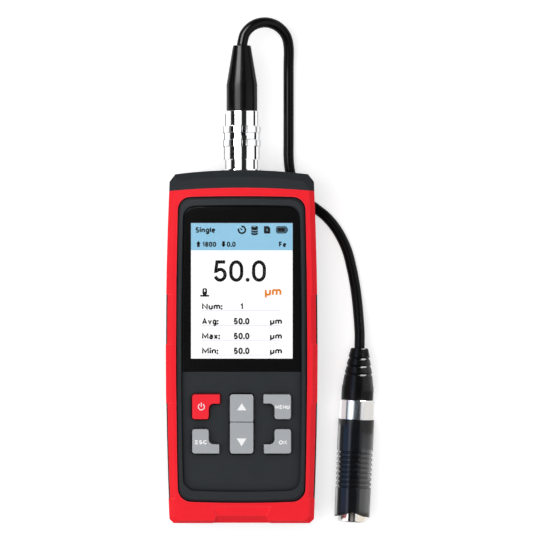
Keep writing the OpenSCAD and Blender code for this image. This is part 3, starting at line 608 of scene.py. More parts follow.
class Assembly:
    """A group of pieces that is built and dressed together."""

    def dress(self, node: str, finish: Finish, edge: float = 0.0) -> Thing:
        """Give a CAD node its finish and soft edges.

        Args:
            node: Name of the CAD node.
            finish: Material of its surface.
            edge: Width of the rounded edges in mm, or 0 for none.

        Returns:
            The node's object.
        """
        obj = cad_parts[node]
        obj.data.materials.clear()
        obj.data.materials.append(finish.material())
        if edge:
            Softener.apply(obj, edge)
        LOG.info("dressed %s in %s", node, finish.name)
        return obj

    def add(
        self, obj: Thing, finish: Finish, body: str, slot: str = "", replaces: Sequence[str] = ()
    ) -> Thing:
        """Put a new piece on its body with its finish.

        Args:
            obj: The new piece, already in place.
            finish: Material of its surface.
            body: CAD body that it moves with.
            slot: The record's material slot, if it has one; not used.
            replaces: CAD nodes that it stands for.

        Returns:
            The same piece.
        """
        obj.data.materials.clear()
        obj.data.materials.append(finish.material())
        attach(obj, body)
        if replaces:
            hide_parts(*replaces)
        LOG.info("added %s in %s on %s", obj.name, finish.name, body)
        return obj


def link_mesh(name: str, mesh: bpy.types.Mesh) -> Thing:
    """Put a mesh in the scene under a name and return its object."""
    mesh.name = name
    obj = bpy.data.objects.new(name, mesh)
    bpy.context.scene.collection.objects.link(obj)
    return obj


def lathe(name: str, profile: Sequence[Point3], steps: int, origin: Point3, axis: Vector) -> Thing:
    """Turn a closed profile about an axis.

    Args:
        name: Name of the piece.
        profile: Radius, height and groove depth of each point in mm, going round the section.
        steps: Points round the axis.
        origin: Point on the axis at height 0, in mm.
        axis: Direction of the axis.

    Returns:
        The turned piece, with one column in a knurl's step sunk by the groove depth.
    """
    turn = axis.to_track_quat("Z", "Y").to_matrix().to_4x4()
    place = Matrix.Translation(Vector(origin) * MM) @ turn
    mesh = bpy.data.meshes.new(name)
    bm = bmesh.new()
    rings: list[list[bmesh.types.BMVert]] = []
    for radius, height, groove in profile:
        ring = []
        for k in range(steps):
            a = 2 * math.pi * k / steps
            r = radius - (groove if k % KNURL_STEP == 0 else 0.0)
            ring.append(bm.verts.new(place @ (Vector((r * math.cos(a), r * math.sin(a), height)) * MM)))
        rings.append(ring)
    for near, far in zip(rings, rings[1:] + rings[:1]):
        for k in range(steps):
            bm.faces.new((near[k], near[(k + 1) % steps], far[(k + 1) % steps], far[k]))
    bmesh.ops.recalc_face_normals(bm, faces=bm.faces)
    for face in bm.faces:
        face.smooth = True
    bm.to_mesh(mesh)
    bm.free()
    return link_mesh(name, mesh)


def oval(x: float, y: float, rx: float, ry: float, steps: int = 32) -> Loop:
    """Give an oval outline about its middle."""
    angles = [2 * math.pi * i / steps for i in range(steps)]
    return [(x + rx * math.cos(a), y + ry * math.sin(a)) for a in angles]


def smile(x: float, y: float, rx: float, sag: float, height: float, steps: int = 12) -> Loop:
    """Give the outline of a band that hangs down in its middle.

    Args:
        x: Middle of the band.
        y: Level of its upper ends.
        rx: Half of its width.
        sag: How far the middle hangs under the ends.
        height: Height of the band.
        steps: Points along each side.

    Returns:
        The closed outline.
    """
    shares = [2 * i / steps - 1 for i in range(steps + 1)]
    upper = [(x + rx * t, y - sag * math.sqrt(1 - t * t)) for t in shares]
    return upper + [(u, v - height) for u, v in reversed(upper)]


def rounded_box(x: float, y: float, w: float, h: float, r: float = 0.0, steps: int = 6) -> Loop:
    """Give a box outline about its middle with rounded corners."""
    corners = ((1, 1), (-1, 1), (-1, -1), (1, -1))
    if r <= 0:
        return [(x + sx * w / 2, y + sy * h / 2) for sx, sy in corners]
    loop: Loop = []
    for i, (sx, sy) in enumerate(corners):
        for k in range(steps + 1):
            a = math.radians(90 * i + 90 * k / steps)
            loop.append((x + sx * (w / 2 - r) + r * math.cos(a), y + sy * (h / 2 - r) + r * math.sin(a)))
    return loop


def arc_band(x: float, y: float, r: float, width: float, start: float, sweep: float, steps: int = 40) -> Loop:
    """Give the outline of a bent band.

    Args:
        x: Middle of the arc.
        y: Middle of the arc.
        r: Radius at the band's middle.
        width: Width of the band.
        start: First angle in degrees.
        sweep: Angle that it covers in degrees.
        steps: Points along each side.

    Returns:
        The closed outline.
    """
    angles = [math.radians(start + sweep * i / steps) for i in range(steps + 1)]
    outer = [(x + (r + width / 2) * math.cos(a), y + (r + width / 2) * math.sin(a)) for a in angles]
    inner = [(x + (r - width / 2) * math.cos(a), y + (r - width / 2) * math.sin(a)) for a in reversed(angles)]
    return outer + inner


def bow(x: float, y: float, rx: float, ry: float, start: float, end: float, steps: int = 14) -> Loop:
    """Give points along a piece of an oval, from one angle to another in degrees."""
    angles = [math.radians(start + (end - start) * i / steps) for i in range(steps + 1)]
    return [(x + rx * math.cos(a), y + ry * math.sin(a)) for a in angles]


@dataclass(frozen=True)
class Glyph:
    """One figure of a plain stroke face.

    Its width is in heights of a capital. Its strokes run from 0 to 1 across the width, and from the
    base line to 1 at the top of a capital. Its dots stand in the middle, at these heights.
    """

    width: float
    strokes: tuple[Loop, ...] = ()
    dots: tuple[float, ...] = ()


# Height of the small letters, as a share of a capital
SMALL = 0.7
GLYPHS: dict[str, Glyph] = {
    "0": Glyph(0.655, (bow(0.5, 0.62, 0.5, 0.38, 0, 180) + bow(0.5, 0.38, 0.5, 0.38, 180, 360)
                       + [(1, 0.62)],)),
    "1": Glyph(0.46, ([(0, 0.74), (1, 1), (1, 0)],)),
    "5": Glyph(0.61, ([(1.02, 1), (0.17, 1), (0.05, 0.49)] + bow(0.5, 0.296, 0.5, 0.294, 136, -140, 22)
                      + [(-0.02, 0.2)],)),
    "8": Glyph(0.62, (bow(0.5, 0.75, 0.42, 0.25, 0, 360, 24), bow(0.5, 0.25, 0.5, 0.25, 0, 360, 24))),
    ".": Glyph(0.17, (), (0.0,)),
    ":": Glyph(0.18, (), (0.0, 0.55)),
    "A": Glyph(0.84, ([(0, 0), (0.5, 1), (1, 0)], [(0.2, 0.32), (0.8, 0.32)])),
    "C": Glyph(0.74, (bow(0.54, 0.5, 0.54, 0.5, 48, 312, 24),)),
    "E": Glyph(0.56, ([(1, 1), (0, 1), (0, 0), (1, 0)], [(0, 0.51), (0.92, 0.51)])),
    "F": Glyph(0.64, ([(1, 1), (0, 1), (0, 0)], [(0, 0.5), (0.9, 0.5)])),
    "K": Glyph(0.7, ([(0, 0), (0, 1)], [(0.95, 1), (0.05, 0.42)], [(0.32, 0.62), (1, 0)])),
    "M": Glyph(0.98, ([(0, 0), (0, 1), (0.5, 0.22), (1, 1), (1, 0)],)),
    "N": Glyph(0.82, ([(0, 0), (0, 1), (1, 0), (1, 1)],)),
    "O": Glyph(0.84, (bow(0.5, 0.5, 0.5, 0.5, 0, 360, 32),)),
    "S": Glyph(0.64, (bow(0.5, 0.755, 0.46, 0.245, 35, 262) + bow(0.5, 0.255, 0.5, 0.255, 82, -145),)),
    "U": Glyph(0.74, ([(0, 1)] + bow(0.5, 0.36, 0.5, 0.36, 180, 360) + [(1, 1)],)),
    "a": Glyph(0.58, (bow(0.5, 0.2, 0.5, 0.2, 0, 360, 24), bow(0.52, 0.46, 0.48, 0.24, 150, 0) + [(1, 0)])),
    "e": Glyph(0.66, ([(0, SMALL / 2), (1, SMALL / 2)], bow(0.5, SMALL / 2, 0.5, SMALL / 2, 0, 312, 20))),
    "g": Glyph(0.64, (bow(0.5, SMALL / 2, 0.5, SMALL / 2, 0, 360, 24),
                      [(1, SMALL)] + bow(0.5, -0.1, 0.5, 0.26, 0, -150))),
    "i": Glyph(0.2, ([(0.5, 0), (0.5, SMALL)],), (0.94,)),
    "l": Glyph(0.2, ([(0.5, 0), (0.5, 1.03)],)),
    "m": Glyph(0.95, ([(0, 0), (0, SMALL)], bow(0.25, 0.44, 0.25, 0.26, 180, 0) + [(0.5, 0)],
                      bow(0.75, 0.44, 0.25, 0.26, 180, 0) + [(1, 0)])),
    "n": Glyph(0.64, ([(0, 0), (0, SMALL)], bow(0.5, 0.42, 0.5, 0.28, 180, 0) + [(1, 0)])),
    "u": Glyph(0.62, ([(0, SMALL)] + bow(0.5, 0.28, 0.5, 0.28, 180, 360), [(1, SMALL), (1, 0)])),
    "v": Glyph(0.66, ([(0, SMALL), (0.5, 0), (1, SMALL)],)),
    "x": Glyph(0.64, ([(0, 0), (1, SMALL)], [(0, SMALL), (1, 0)])),
    "µ": Glyph(0.62, ([(0, SMALL), (0, -0.4)], bow(0.5, 0.28, 0.5, 0.28, 180, 360), [(1, SMALL), (1, 0)])),
}


class Align(Enum):
    """Which point of a line of figures is placed."""

    LEFT = 0.0
    MIDDLE = 0.5
    RIGHT = 1.0


@dataclass
class Artwork:
    """Flat shapes and figures of one colour, gathered into one thin solid piece."""

    name: str
    base: float
    thick: float = 0.04
    meshes: list[bpy.types.Mesh] = field(default_factory=list)
    dot: ClassVar[float] = 0.6
    mitre: ClassVar[float] = 0.62
    nothing: ClassVar[float] = 1e-6
    weld: ClassVar[float] = 0.0005

    def flatten(self, curve: bpy.types.Curve) -> bpy.types.Mesh:
        """Turn a filled curve into a mesh and drop the curve."""
        holder = bpy.data.objects.new("holder", curve)
        mesh = bpy.data.meshes.new_from_object(holder)
        bpy.data.objects.remove(holder)
        bpy.data.curves.remove(curve)
        return mesh

    def shape(self, *loops: Loop) -> None:
        """Add one filled shape, made a thousand times larger because Blender fills small curves coarsely.

        Args:
            *loops: Closed outlines in mm; one inside another is a hole.
        """
        curve = bpy.data.curves.new("outline", "CURVE")
        curve.dimensions = "2D"
        curve.fill_mode = "BOTH"
        curve.extrude = self.thick / 2
        for loop in loops:
            spline = curve.splines.new("POLY")
            spline.points.add(len(loop) - 1)
            for point, (x, y) in zip(spline.points, loop):
                point.co = (x, y, 0, 1)
            spline.use_cyclic_u = True
        mesh = self.flatten(curve)
        mesh.transform(Matrix.Scale(MM, 4))
        self.meshes.append(mesh)

    def stroke(self, line: Loop, width: float) -> None:
        """Add a stroke of even width.

        Args:
            line: Middle line in mm; one that ends where it starts is a ring.
            width: Width of the stroke in mm.
        """
        closed = math.dist(line[0], line[-1]) < self.nothing
        points = [Vector(p) for p in (line[:-1] if closed else line)]
        bm = bmesh.new()
        slices: list[list[bmesh.types.BMVert]] = []
        for i, p in enumerate(points):
            before = points[i - 1] if i or closed else p
            after = points[(i + 1) % len(points)] if i + 1 < len(points) or closed else p
            ways = [w.normalized() for w in (p - before, after - p) if w.length > self.nothing]
            middle = (ways[0] + ways[-1]).normalized()
            reach = width / 2 / max(middle.dot(ways[0]), self.mitre)
            side = Vector((-middle.y, middle.x, 0)) * reach
            rise = Vector((0, 0, self.thick / 2))
            slices.append([bm.verts.new((p.to_3d() + corner) * MM)
                           for corner in (side + rise, -side + rise, -side - rise, side - rise)])
        for first, second in zip(slices, slices[1:] + slices[:1] if closed else slices[1:]):
            for k in range(4):
                bm.faces.new((first[k], first[k - 1], second[k - 1], second[k]))
        if not closed:
            bm.faces.new(slices[0])
            bm.faces.new(slices[-1][::-1])
        bmesh.ops.recalc_face_normals(bm, faces=bm.faces)
        mesh = bpy.data.meshes.new("stroke")
        bm.to_mesh(mesh)
        bm.free()
        self.meshes.append(mesh)

    def text(
        self, body: str, x: float, y: float, height: float, align: Align = Align.LEFT, width: float = 0.0,
        weight: float = 0.24, spacing: float = 0.085,
    ) -> None:
        """Add a line of generic figures.

        Args:
            body: The figures.
            x: Place of the aligned point in mm.
            y: Place of the base line in mm.
            height: Height of a capital in mm.
            align: Which point of the line stands at x.
            width: Width that the line is drawn to in mm, or 0 for its own.
            weight: Width of the strokes, as a share of the height.
            spacing: Gap between two figures, as a share of the height.
        """
        pen = weight * height
        own = [GLYPHS[c].width * height for c in body]
        total = sum(own) + spacing * height * (len(body) - 1)
        stretch = width / total if width else 1.0
        left = x - total * stretch * align.value
        for figure, wide in zip(body, own):
            glyph, wide = GLYPHS[figure], wide * stretch
            for stroke in glyph.strokes:
                start_x, start_y, across, up = left + pen / 2, y + pen / 2, wide - pen, height - pen
                self.stroke([(start_x + u * across, start_y + v * up) for u, v in stroke], pen)
            dot = self.dot * pen
            for v in glyph.dots:
                self.shape(oval(left + wide / 2, y + dot + v * (height - pen), dot, dot, 20))
            left += wide + spacing * height * stretch

    def build(self) -> Thing:
        """Join the gathered shapes into one piece at its height.

        Returns:
            The piece, linked to the scene.
        """
        bm = bmesh.new()
        for mesh in self.meshes:
            kept = len(bm.verts)
            bm.from_mesh(mesh)
            bpy.data.meshes.remove(mesh)
            bm.verts.ensure_lookup_table()
            bmesh.ops.remove_doubles(bm, verts=bm.verts[kept:], dist=self.weld * MM)
        bmesh.ops.translate(bm, verts=bm.verts, vec=(0, 0, (self.base + self.thick / 2) * MM))
        joined = bpy.data.meshes.new(self.name)
        bm.to_mesh(joined)
        bm.free()
        return link_mesh(self.name, joined)


@dataclass(frozen=True)
class Softbox:
    """A studio lamp with a square or oblong front."""

    name: str
    place: Point3
    size: Point2
    power: float
    tint: str = "#ffffff"
    mirrored: bool = True

    def build(self, aim: Vector) -> None:
        """Hang the lamp and point it at a target in metres."""
        lamp = bpy.data.lights.new(self.name, "AREA")
        lamp.shape = "RECTANGLE"
        lamp.size = self.size[0] * MM
        lamp.size_y = self.size[1] * MM
        lamp.energy = self.power
        lamp.color = linear(self.tint)[:3]
        obj = bpy.data.objects.new(self.name, lamp)
        obj.location = Vector(self.place) * MM
        obj.rotation_euler = (aim - obj.location).to_track_quat("-Z", "Y").to_euler()
        obj.visible_camera = False
        obj.visible_glossy = self.mirrored
        bpy.context.scene.collection.objects.link(obj)


Cloth = DarkCloth | LampCloth


@dataclass(frozen=True)
class Standing:
    """Something flat and four-cornered in the studio, with its front to a point in mm."""

    name: str
    corners: tuple[Point3, Point3, Point3, Point3]
    finish: Cloth
    faces: Point3

    def places(self) -> list[Vector]:
        """Give the corners in metres, going round so that the front is to what it faces."""
        places = [Vector(c) * MM for c in self.corners]
        front = (places[1] - places[0]).cross(places[2] - places[1])
        if front.dot(Vector(self.faces) * MM - sum(places, Vector()) / 4) < 0:
            places.reverse()
        return places


class GridLight(Standing):
    """A small studio light with a cloth front and a grid, which gloss mirrors and nothing else shows."""

    fade: ClassVar[float] = 0.06

    def build(self) -> None:
        """Stand the light in the studio."""
        places = self.places()
        wide, high = places[1] - places[0], places[2] - places[1]
        across, front = wide.normalized(), wide.cross(high).normalized()
        lamp = bpy.data.lights.new(self.name, "AREA")
        lamp.shape = "RECTANGLE"
        lamp.size, lamp.size_y = wide.length, high.length
        lamp.energy = math.pi * wide.length * high.length * self.finish.glow
        lamp.color = linear(self.finish.tone)[:3]
        self.grid(lamp)
        obj = bpy.data.objects.new(self.name, lamp)
        turn = Matrix((across, across.cross(front), -front)).transposed()
        obj.matrix_world = Matrix.LocRotScale(sum(places, Vector()) / 4, turn, None)
        obj.visible_camera = False
        obj.visible_diffuse = False
        bpy.context.scene.collection.objects.link(obj)

    def grid(self, lamp: bpy.types.AreaLight) -> None:
        """Put the grid before a lamp, so that its front isn't seen aslant."""
        lamp.use_nodes = True
        tree = lamp.node_tree
        glow = next(node for node in tree.nodes if node.bl_idname == "ShaderNodeEmission")
        slant = add_node(tree, "ShaderNodeLayerWeight", {"Blend": 0.5}).outputs["Facing"]
        limit = 1.0 - math.cos(math.radians(self.finish.reach))
        open_share = scaled(tree, slant, (limit, limit + self.fade), (1.0, 0.0))
        tree.links.new(open_share, glow.inputs["Strength"])


class Card(Standing):
    """A dark card that only mirrors and glass see."""

    def build(self) -> None:
        """Stand the card in the studio."""
        mesh = bpy.data.meshes.new(self.name)
        mesh.from_pydata(self.places(), [], [(0, 1, 2, 3)])
        obj = link_mesh(self.name, mesh)
        obj.data.materials.append(self.finish.material())
        obj.visible_camera = False
        obj.visible_diffuse = False
        obj.visible_shadow = False


@dataclass
class Studio:
    """White floor, soft lamps, small lights and dark cards, and the camera of the photograph."""

    aim: Point2 = (11.976, 32.37)
    height: float = 1400.0
    front_plane: float = 31.0
    field_width: float = 228.15
    sensor: float = 36.0
    clip_end: float = 20.0
    floor_half: float = 4000.0
    floor_drop: float = 0.05
    ambient: float = 0.12
    mirrored: float = 1.0
    plug: Point3 = (0, 90, 18)
    boot: Point3 = (50, -10, 8)
    probe_z: float = 8.0
    # Distance of the lights beside the probe from its axis, on the right and on the left
    right: float = 15.5
    left: float = -13.5
    backing: float = 16.5
    roof: float = 60.0
    ceiling: float = 1200.0
    wall: float = 900.0

    def camera(self) -> None:
        """Set the camera straight above the front, at the photograph's scale."""
        data = bpy.data.cameras.new("front_camera")
        data.sensor_width = self.sensor
        data.lens = self.sensor * (self.height - self.front_plane) / self.field_width
        data.clip_end = self.clip_end
        obj = bpy.data.objects.new("front_camera", data)
        obj.location = Vector((*self.aim, self.height)) * MM
        bpy.context.scene.collection.objects.link(obj)
        bpy.context.scene.camera = obj
        bpy.context.scene.view_settings.view_transform = "Standard"

    def floor(self) -> None:
        """Lay the white floor under the part."""
        corners = rounded_box(0, 0, 2 * self.floor_half, 2 * self.floor_half)
        mesh = bpy.data.meshes.new("floor")
        mesh.from_pydata([Vector((*c, -self.floor_drop)) * MM for c in corners], [], [(0, 1, 2, 3)])
        obj = link_mesh("floor", mesh)
        obj.data.materials.append(PAPER.material())

    def sky(self) -> None:
        """Fill the studio with even white light, brighter where mirrors and the camera look."""
        world = bpy.data.worlds.new("studio")
        bpy.context.scene.world = world
        world.use_nodes = True
        tree = world.node_tree
        tree.nodes.clear()
        level = scaled(tree, seen_rays(tree), target=(self.ambient, self.mirrored))
        glow = add_node(tree, "ShaderNodeBackground", {"Color": linear("#ffffff")}, {"Strength": level})
        add_node(tree, "ShaderNodeOutputWorld", links={"Surface": glow.outputs[0]})

    def stand(self, name: str, corners: Sequence[Point3], finish: Cloth, faces: Point3) -> None:
        """Build a small light or a dark card, by its cloth.

        Args:
            name: Its name.
            corners: Its four corners in mm.
            finish: Its cloth.
            faces: Point that its front is turned to.
        """
        kind = GridLight if isinstance(finish, LampCloth) else Card
        kind(name, tuple(corners), finish, faces).build()

    def above(self, name: str, x: Point2, y: Point2, level: float, finish: Cloth) -> None:
        """Hang a level one over the plug.

        Args:
            name: Its name.
            x: Its reach across.
            y: Its reach along.
            level: Its height.
            finish: Its cloth.
        """
        corners = ((x[0], y[0], level), (x[1], y[0], level), (x[1], y[1], level), (x[0], y[1], level))
        self.stand(name, corners, finish, self.plug)

    def upright(
        self, name: str, first: Point2, second: Point2, z: Point2, finish: Cloth, faces: Point3
    ) -> None:
        """Stand an upright one.

        Args:
            name: Its name.
            first: One end of its foot.
            second: The other end.
            z: Its lowest and highest edges.
            finish: Its cloth.
            faces: Point that its front is turned to.
        """
        corners = ((*first, z[0]), (*second, z[0]), (*second, z[1]), (*first, z[1]))
        self.stand(name, corners, finish, faces)

    def along(self, name: str, y: Point2, first: Point2, second: Point2, finish: Cloth) -> None:
        """Stand one that follows the leaning probe.

        Args:
            name: Its name.
            y: Its reach along.
            first: One long edge, as its distance from the probe's axis and its height.
            second: The other long edge.
            finish: Its cloth.
        """
        slope = math.tan(math.radians(PROBE_LEAN))
        axis = [PROBE_ENTRY[0] + (end - PROBE_ENTRY[1]) * slope for end in y]
        order = ((0, first), (1, first), (1, second), (0, second))
        corners = [(axis[i] + edge[0], y[i], edge[1]) for i, edge in order]
        self.stand(name, corners, finish, (sum(axis) / 2, sum(y) / 2, self.probe_z))

    def room(self) -> None:
        """Hang the dark cards of ceiling and walls."""
        wall, levels = self.wall, (10, 1100)
        self.above("card_above", (-90, 560), (-wall, 95), self.ceiling, VELVET)
        self.above("card_above_plug", (-20, 720), (95, wall), self.ceiling, CLOTH_DUSK)
        self.upright("card_head", (-wall, wall), (wall, wall), levels, VELVET, self.plug)
        self.upright("card_foot", (-wall, -wall), (wall, -wall), levels, VELVET, self.plug)

    def round_plug(self) -> None:
        """Stand the lights and cards that the plug, its boot and the cable mirror."""
        self.above("panel_plug", (-96, -18), (78, 134), 100, CLOTH_BRIGHT)
        self.above("panel_loop", (-96, -18), (134, 190), 100, CLOTH_GLARE)
        self.above("panel_loop_far", (-96, -2), (190, 260), 100, CLOTH_GLARE)
        self.above("card_plug_edge", (-20, -7.7), (66, 100), 0.4, VELVET)
        self.upright("card_plug_left", (-60, 66), (-60, 104), (31, 78), VELVET, self.plug)
        self.upright("card_boot_left", (-60, 104), (-60, 190), (0.5, 58), VELVET, self.plug)
        self.upright("card_plug_right", (45, 66), (45, 145), (11, 25), VELVET, self.plug)

    def round_probe(self) -> None:
        """Stand the lights and cards that the probe mirrors, on its right, on its left and above it."""
        self.upright("panel_ribs", (67, 32), (135, 32), (0.5, 62), CLOTH_SUN, self.boot)
        sides = (
            (self.right, (
                ("panel_probe_boot", (-20, -2), (0.5, 29), CLOTH_PLAIN),
                ("panel_probe_ring", (-39, -20), (0.5, 29), CLOTH_SOFT),
                ("panel_probe_top", (-46, -39), (0.5, 29), CLOTH_PLAIN),
                ("panel_probe_upper", (-58.5, -46), (0.5, 29), CLOTH_EVEN),
                ("panel_probe_lower", (-73, -58.5), (8, 29), CLOTH_EVEN),
                ("panel_probe_foot", (-73, -58.5), (0.5, 8), CLOTH_PLAIN),
                ("panel_tip_right", (-110, -73), (0.5, 29), CLOTH_CREAM),
            )),
            (self.backing, (
                ("card_probe_right", (-125, 0), (0.4, 31), VELVET),
            )),
            (self.left, (
                ("panel_boot_low", (-22.5, 25), (0.5, 19), CLOTH_WARM),
                ("panel_ring_low", (-34, -22.5), (0.5, 16.5), CLOTH_ROSE),
                ("panel_barrel_rim", (-73, -34), (0.5, 7.5), CLOTH_EVEN),
                ("panel_barrel_low", (-73, -34), (7.5, 14), CLOTH_WARM),
                ("panel_boot_high", (-22.5, 25), (19, 48), CLOTH_BLUE),
                ("panel_ring_high", (-34, -22.5), (19.5, 48), CLOTH_COOL),
                ("panel_barrel_high", (-72, -34), (14, 33), CLOTH_BLUE),
            )),
        )
        for off, rows in sides:
            for name, y, (low, high), finish in rows:
                self.along(name, y, (off, low), (off, high), finish)
        above = (
            ("card_probe_boot", (-24.5, 25), (-15.5, 3.7), self.roof, VELVET),
            ("card_probe_ring", (-33, -24.5), (-17.2, 6), self.roof, CLOTH_SLATE),
            ("card_probe_barrel", (-110, -33), (-31, 22), self.roof, VELVET),
            ("panel_tip_above", (-110, -76), (-12, 9), self.roof - 1, CLOTH_WARM),
        )
        for name, y, (first, second), level, finish in above:
            self.along(name, y, (first, level), (second, level), finish)

    def build(self) -> None:
        """Set up the camera, the floor, the lamps, the small lights and the cards."""
        self.camera()
        self.floor()
        self.sky()
        lamps = (
            Softbox("lamp_above", (-200, 0, 1300), (1200, 1200), 13.9, mirrored=False),
            Softbox("lamp_left", (-900, 0, 600), (500, 900), 2.6),
            Softbox("lamp_right", (900, 0, 500), (500, 900), 0.8, "#f4f6ff"),
        )
        for lamp in lamps:
            lamp.build(Vector((*self.aim, 0)) * MM)
        self.room()
        self.round_plug()
        self.round_probe()
        LOG.info("set up the studio with its lamps and cards")


@dataclass
class Case(Assembly):
    """Grey back, red front and end cap of the gauge, with the back lid and screws."""

    shell_edge: float = 0.45
    frame_edge: float = 0.5
    cap_edge: float = 0.4
    lid_edge: float = 0.25
    screw_edge: float = 0.12

    def build(self) -> None:
        """Dress the case's CAD nodes."""
        self.dress("rear_shell", CASE_GREY, self.shell_edge)
        self.dress("red_frame", CASE_RED, self.frame_edge)
        self.dress("top_cap", CAP_GREY, self.cap_edge)
        self.dress("battery_door", CASE_GREY, self.lid_edge)
        self.dress("battery_door_screw", ZINC, self.screw_edge)
        self.dress("case_screws", ZINC, self.screw_edge)


@dataclass
class Inside(Assembly):
    """Board, mat, cells and contacts inside the case."""

    finishes: dict[str, Finish] = field(default_factory=lambda: {
        "display_module": ZINC, "main_board": BOARD, "board_screws": ZINC, "keypad_mat": MAT,
        "key_switches": ZINC, "battery_cells": CELL, "battery_springs": ZINC, "battery_plates": ZINC,
    })

    def build(self) -> None:
        """Dress the hidden CAD nodes."""
        for node, finish in self.finishes.items():
            self.dress(node, finish)


@dataclass
class Display(Assembly):
    """Bezel, printed window and the lit readout under it."""

    panel_edge: float = 0.35
    window_edge: float = 0.15
    width: float = 43.4
    height: float = 57.7
    middle: Point2 = (0.06, 23.57)
    glass_top: float = 26.8
    band_low: float = 40.7
    layer: float = 0.04
    row_pitch: float = 6.275
    row_y: float = 15.55
    rule_y: float = 15.18
    rule_x: float = -0.15
    rule: Point2 = (33.4, 0.42)
    label_x: float = -16.85
    value_x: float = -0.05
    unit_x: float = 17.06
    row_letter: float = 2.78
    value_w: float = 6.65
    unit_w: float = 5.1
    status_y: float = 49.39
    limits_y: float = 42.15
    limit_letter: float = 2.2
    body: ClassVar[str] = "gauge"
    slot: ClassVar[str] = "lcd_glass"

    def build(self) -> None:
        """Dress the bezel and window, then draw the readout."""
        self.dress("front_panel", PANEL_GREY, self.panel_edge)
        self.dress("display_window", WINDOW, self.window_edge)
        self.dress("display_glass", LCD_GLASS)
        self.fields()
        self.figures()
        self.unit_mark()

    def fields(self) -> None:
        """Lay the white field, the blue band and the pale rules."""
        x, y = self.middle
        top, low = y + self.height / 2, y - self.height / 2
        white = Artwork("display_field", self.glass_top, self.layer)
        white.shape(rounded_box(x, (low + self.band_low) / 2, self.width, self.band_low - low))
        self.add(white.build(), PIXELS_WHITE, self.body, self.slot)
        blue = Artwork("display_band", self.glass_top, self.layer)
        blue.shape(rounded_box(x, (top + self.band_low) / 2, self.width, top - self.band_low))
        self.add(blue.build(), PIXELS_BLUE, self.body, self.slot)
        rules = Artwork("display_rules", self.glass_top + self.layer, self.layer)
        for row in range(4):
            rules.shape(rounded_box(self.rule_x, self.rule_y - self.row_pitch * row, *self.rule))
        self.add(rules.build(), PIXELS_RULE, self.body, self.slot)

    def figures(self) -> None:
        """Draw the reading, the rows under it and the status marks."""
        ink = Artwork("display_figures", self.glass_top + self.layer, self.layer)
        ink.text("50.0", -0.81, 27.36, 9.13, Align.MIDDLE, 22.2, 0.155, 0.115)
        rows = (("Num:", 8.6, "1"), ("Avg:", 6.9, "50.0"), ("Max:", 7.55, "50.0"), ("Min:", 6.83, "50.0"))
        for row, (label, width, value) in enumerate(rows):
            y, letter, long = self.row_y - self.row_pitch * row, self.row_letter, len(value) > 1
            ink.text(label, self.label_x, y, letter, width=width)
            ink.text(value, self.value_x, y, letter, Align.MIDDLE, self.value_w if long else 0.0)
            if long:
                ink.text("µm", self.unit_x, y, letter, Align.RIGHT, self.unit_w)
        ink.text("Single", -19.62, 48.13, 2.42, width=8.46)
        ink.text("1800", -16.79, self.limits_y, self.limit_letter, width=5.98)
        ink.text("0.0", -6.34, self.limits_y, self.limit_letter, width=3.77)
        ink.text("Fe", 18.9, self.limits_y - 0.1, 2.32, Align.RIGHT, 3.15)
        self.status_marks(ink)
        self.limit_marks(ink)
        self.probe_mark(ink)
        self.add(ink.build(), PIXELS_BLACK, self.body, self.slot)

    def status_marks(self, ink: Artwork) -> None:
        """Add the clock, stack, page and cell marks.

        Args:
            ink: Artwork that takes the black shapes.
        """
        x, y = 0.08, self.status_y
        ink.shape(arc_band(x, y, 1.45, 0.74, 158, 300))
        ink.shape([(x - 1.1, y + 1.0), (x + 0.22, y + 0.28), (x + 0.28, y - 0.22), (x - 0.28, y - 0.2)])
        x = 5.43
        ink.shape(oval(x, y + 1.15, 1.41, 0.6), oval(x, y + 1.36, 0.7, 0.18))
        for rise in (1.05, 0.0, -1.0):
            ink.shape(smile(x, y + rise, 1.41, 0.45, 0.8))
        x = 10.76
        ink.shape([(x - 1.34, y - 1.57), (x + 1.34, y - 1.57), (x + 1.34, y + 0.75), (x + 0.55, y + 1.57),
                   (x - 1.34, y + 1.57)], rounded_box(x - 0.05, y, 0.26, 1.1))
        x = 16.9
        ink.shape(rounded_box(x - 0.15, y, 3.3, 1.75, 0.3))
        shell = Artwork("display_cell", self.glass_top + self.layer, self.layer)
        shell.shape(rounded_box(x, y, 4.85, 3.15, 1.0), rounded_box(x - 0.15, y, 3.4, 1.85, 0.35))
        shell.shape(rounded_box(x + 2.5, y, 0.4, 1.3))
        self.add(shell.build(), PIXELS_SLATE, self.body, self.slot)

    def limit_marks(self, ink: Artwork) -> None:
        """Add the two arrows before the limits.

        Args:
            ink: Artwork that takes the shapes.
        """
        y = self.limits_y + 1.2
        for x, way in ((-18.35, 1), (-7.7, -1)):
            ink.shape([(x, y + 1.35 * way), (x + 0.95, y + 0.2 * way), (x + 0.58, y + 0.2 * way),
                       (x + 0.58, y - 1.2 * way), (x - 0.58, y - 1.2 * way), (x - 0.58, y + 0.2 * way),
                       (x - 0.95, y + 0.2 * way)])

    def probe_mark(self, ink: Artwork) -> None:
        """Add the small probe under the reading.

        Args:
            ink: Artwork that takes the shapes.
        """
        x, y = -15.68, 23.3
        ink.shape(rounded_box(x, y, 1.95, 2.75, 0.7), oval(x, y + 0.3, 0.3, 0.56, 20))
        ink.shape(rounded_box(x, y - 1.85, 3.8, 0.74))
        ink.shape(rounded_box(x, y - 1.45, 1.5, 0.5))

    def unit_mark(self) -> None:
        """Draw the orange unit beside the reading."""
        unit = Artwork("display_unit", self.glass_top + self.layer, self.layer)
        unit.text("µm", 16.83, 21.45, 3.8, Align.RIGHT, 7.06, 0.22)
        self.add(unit.build(), PIXELS_ORANGE, self.body, self.slot)


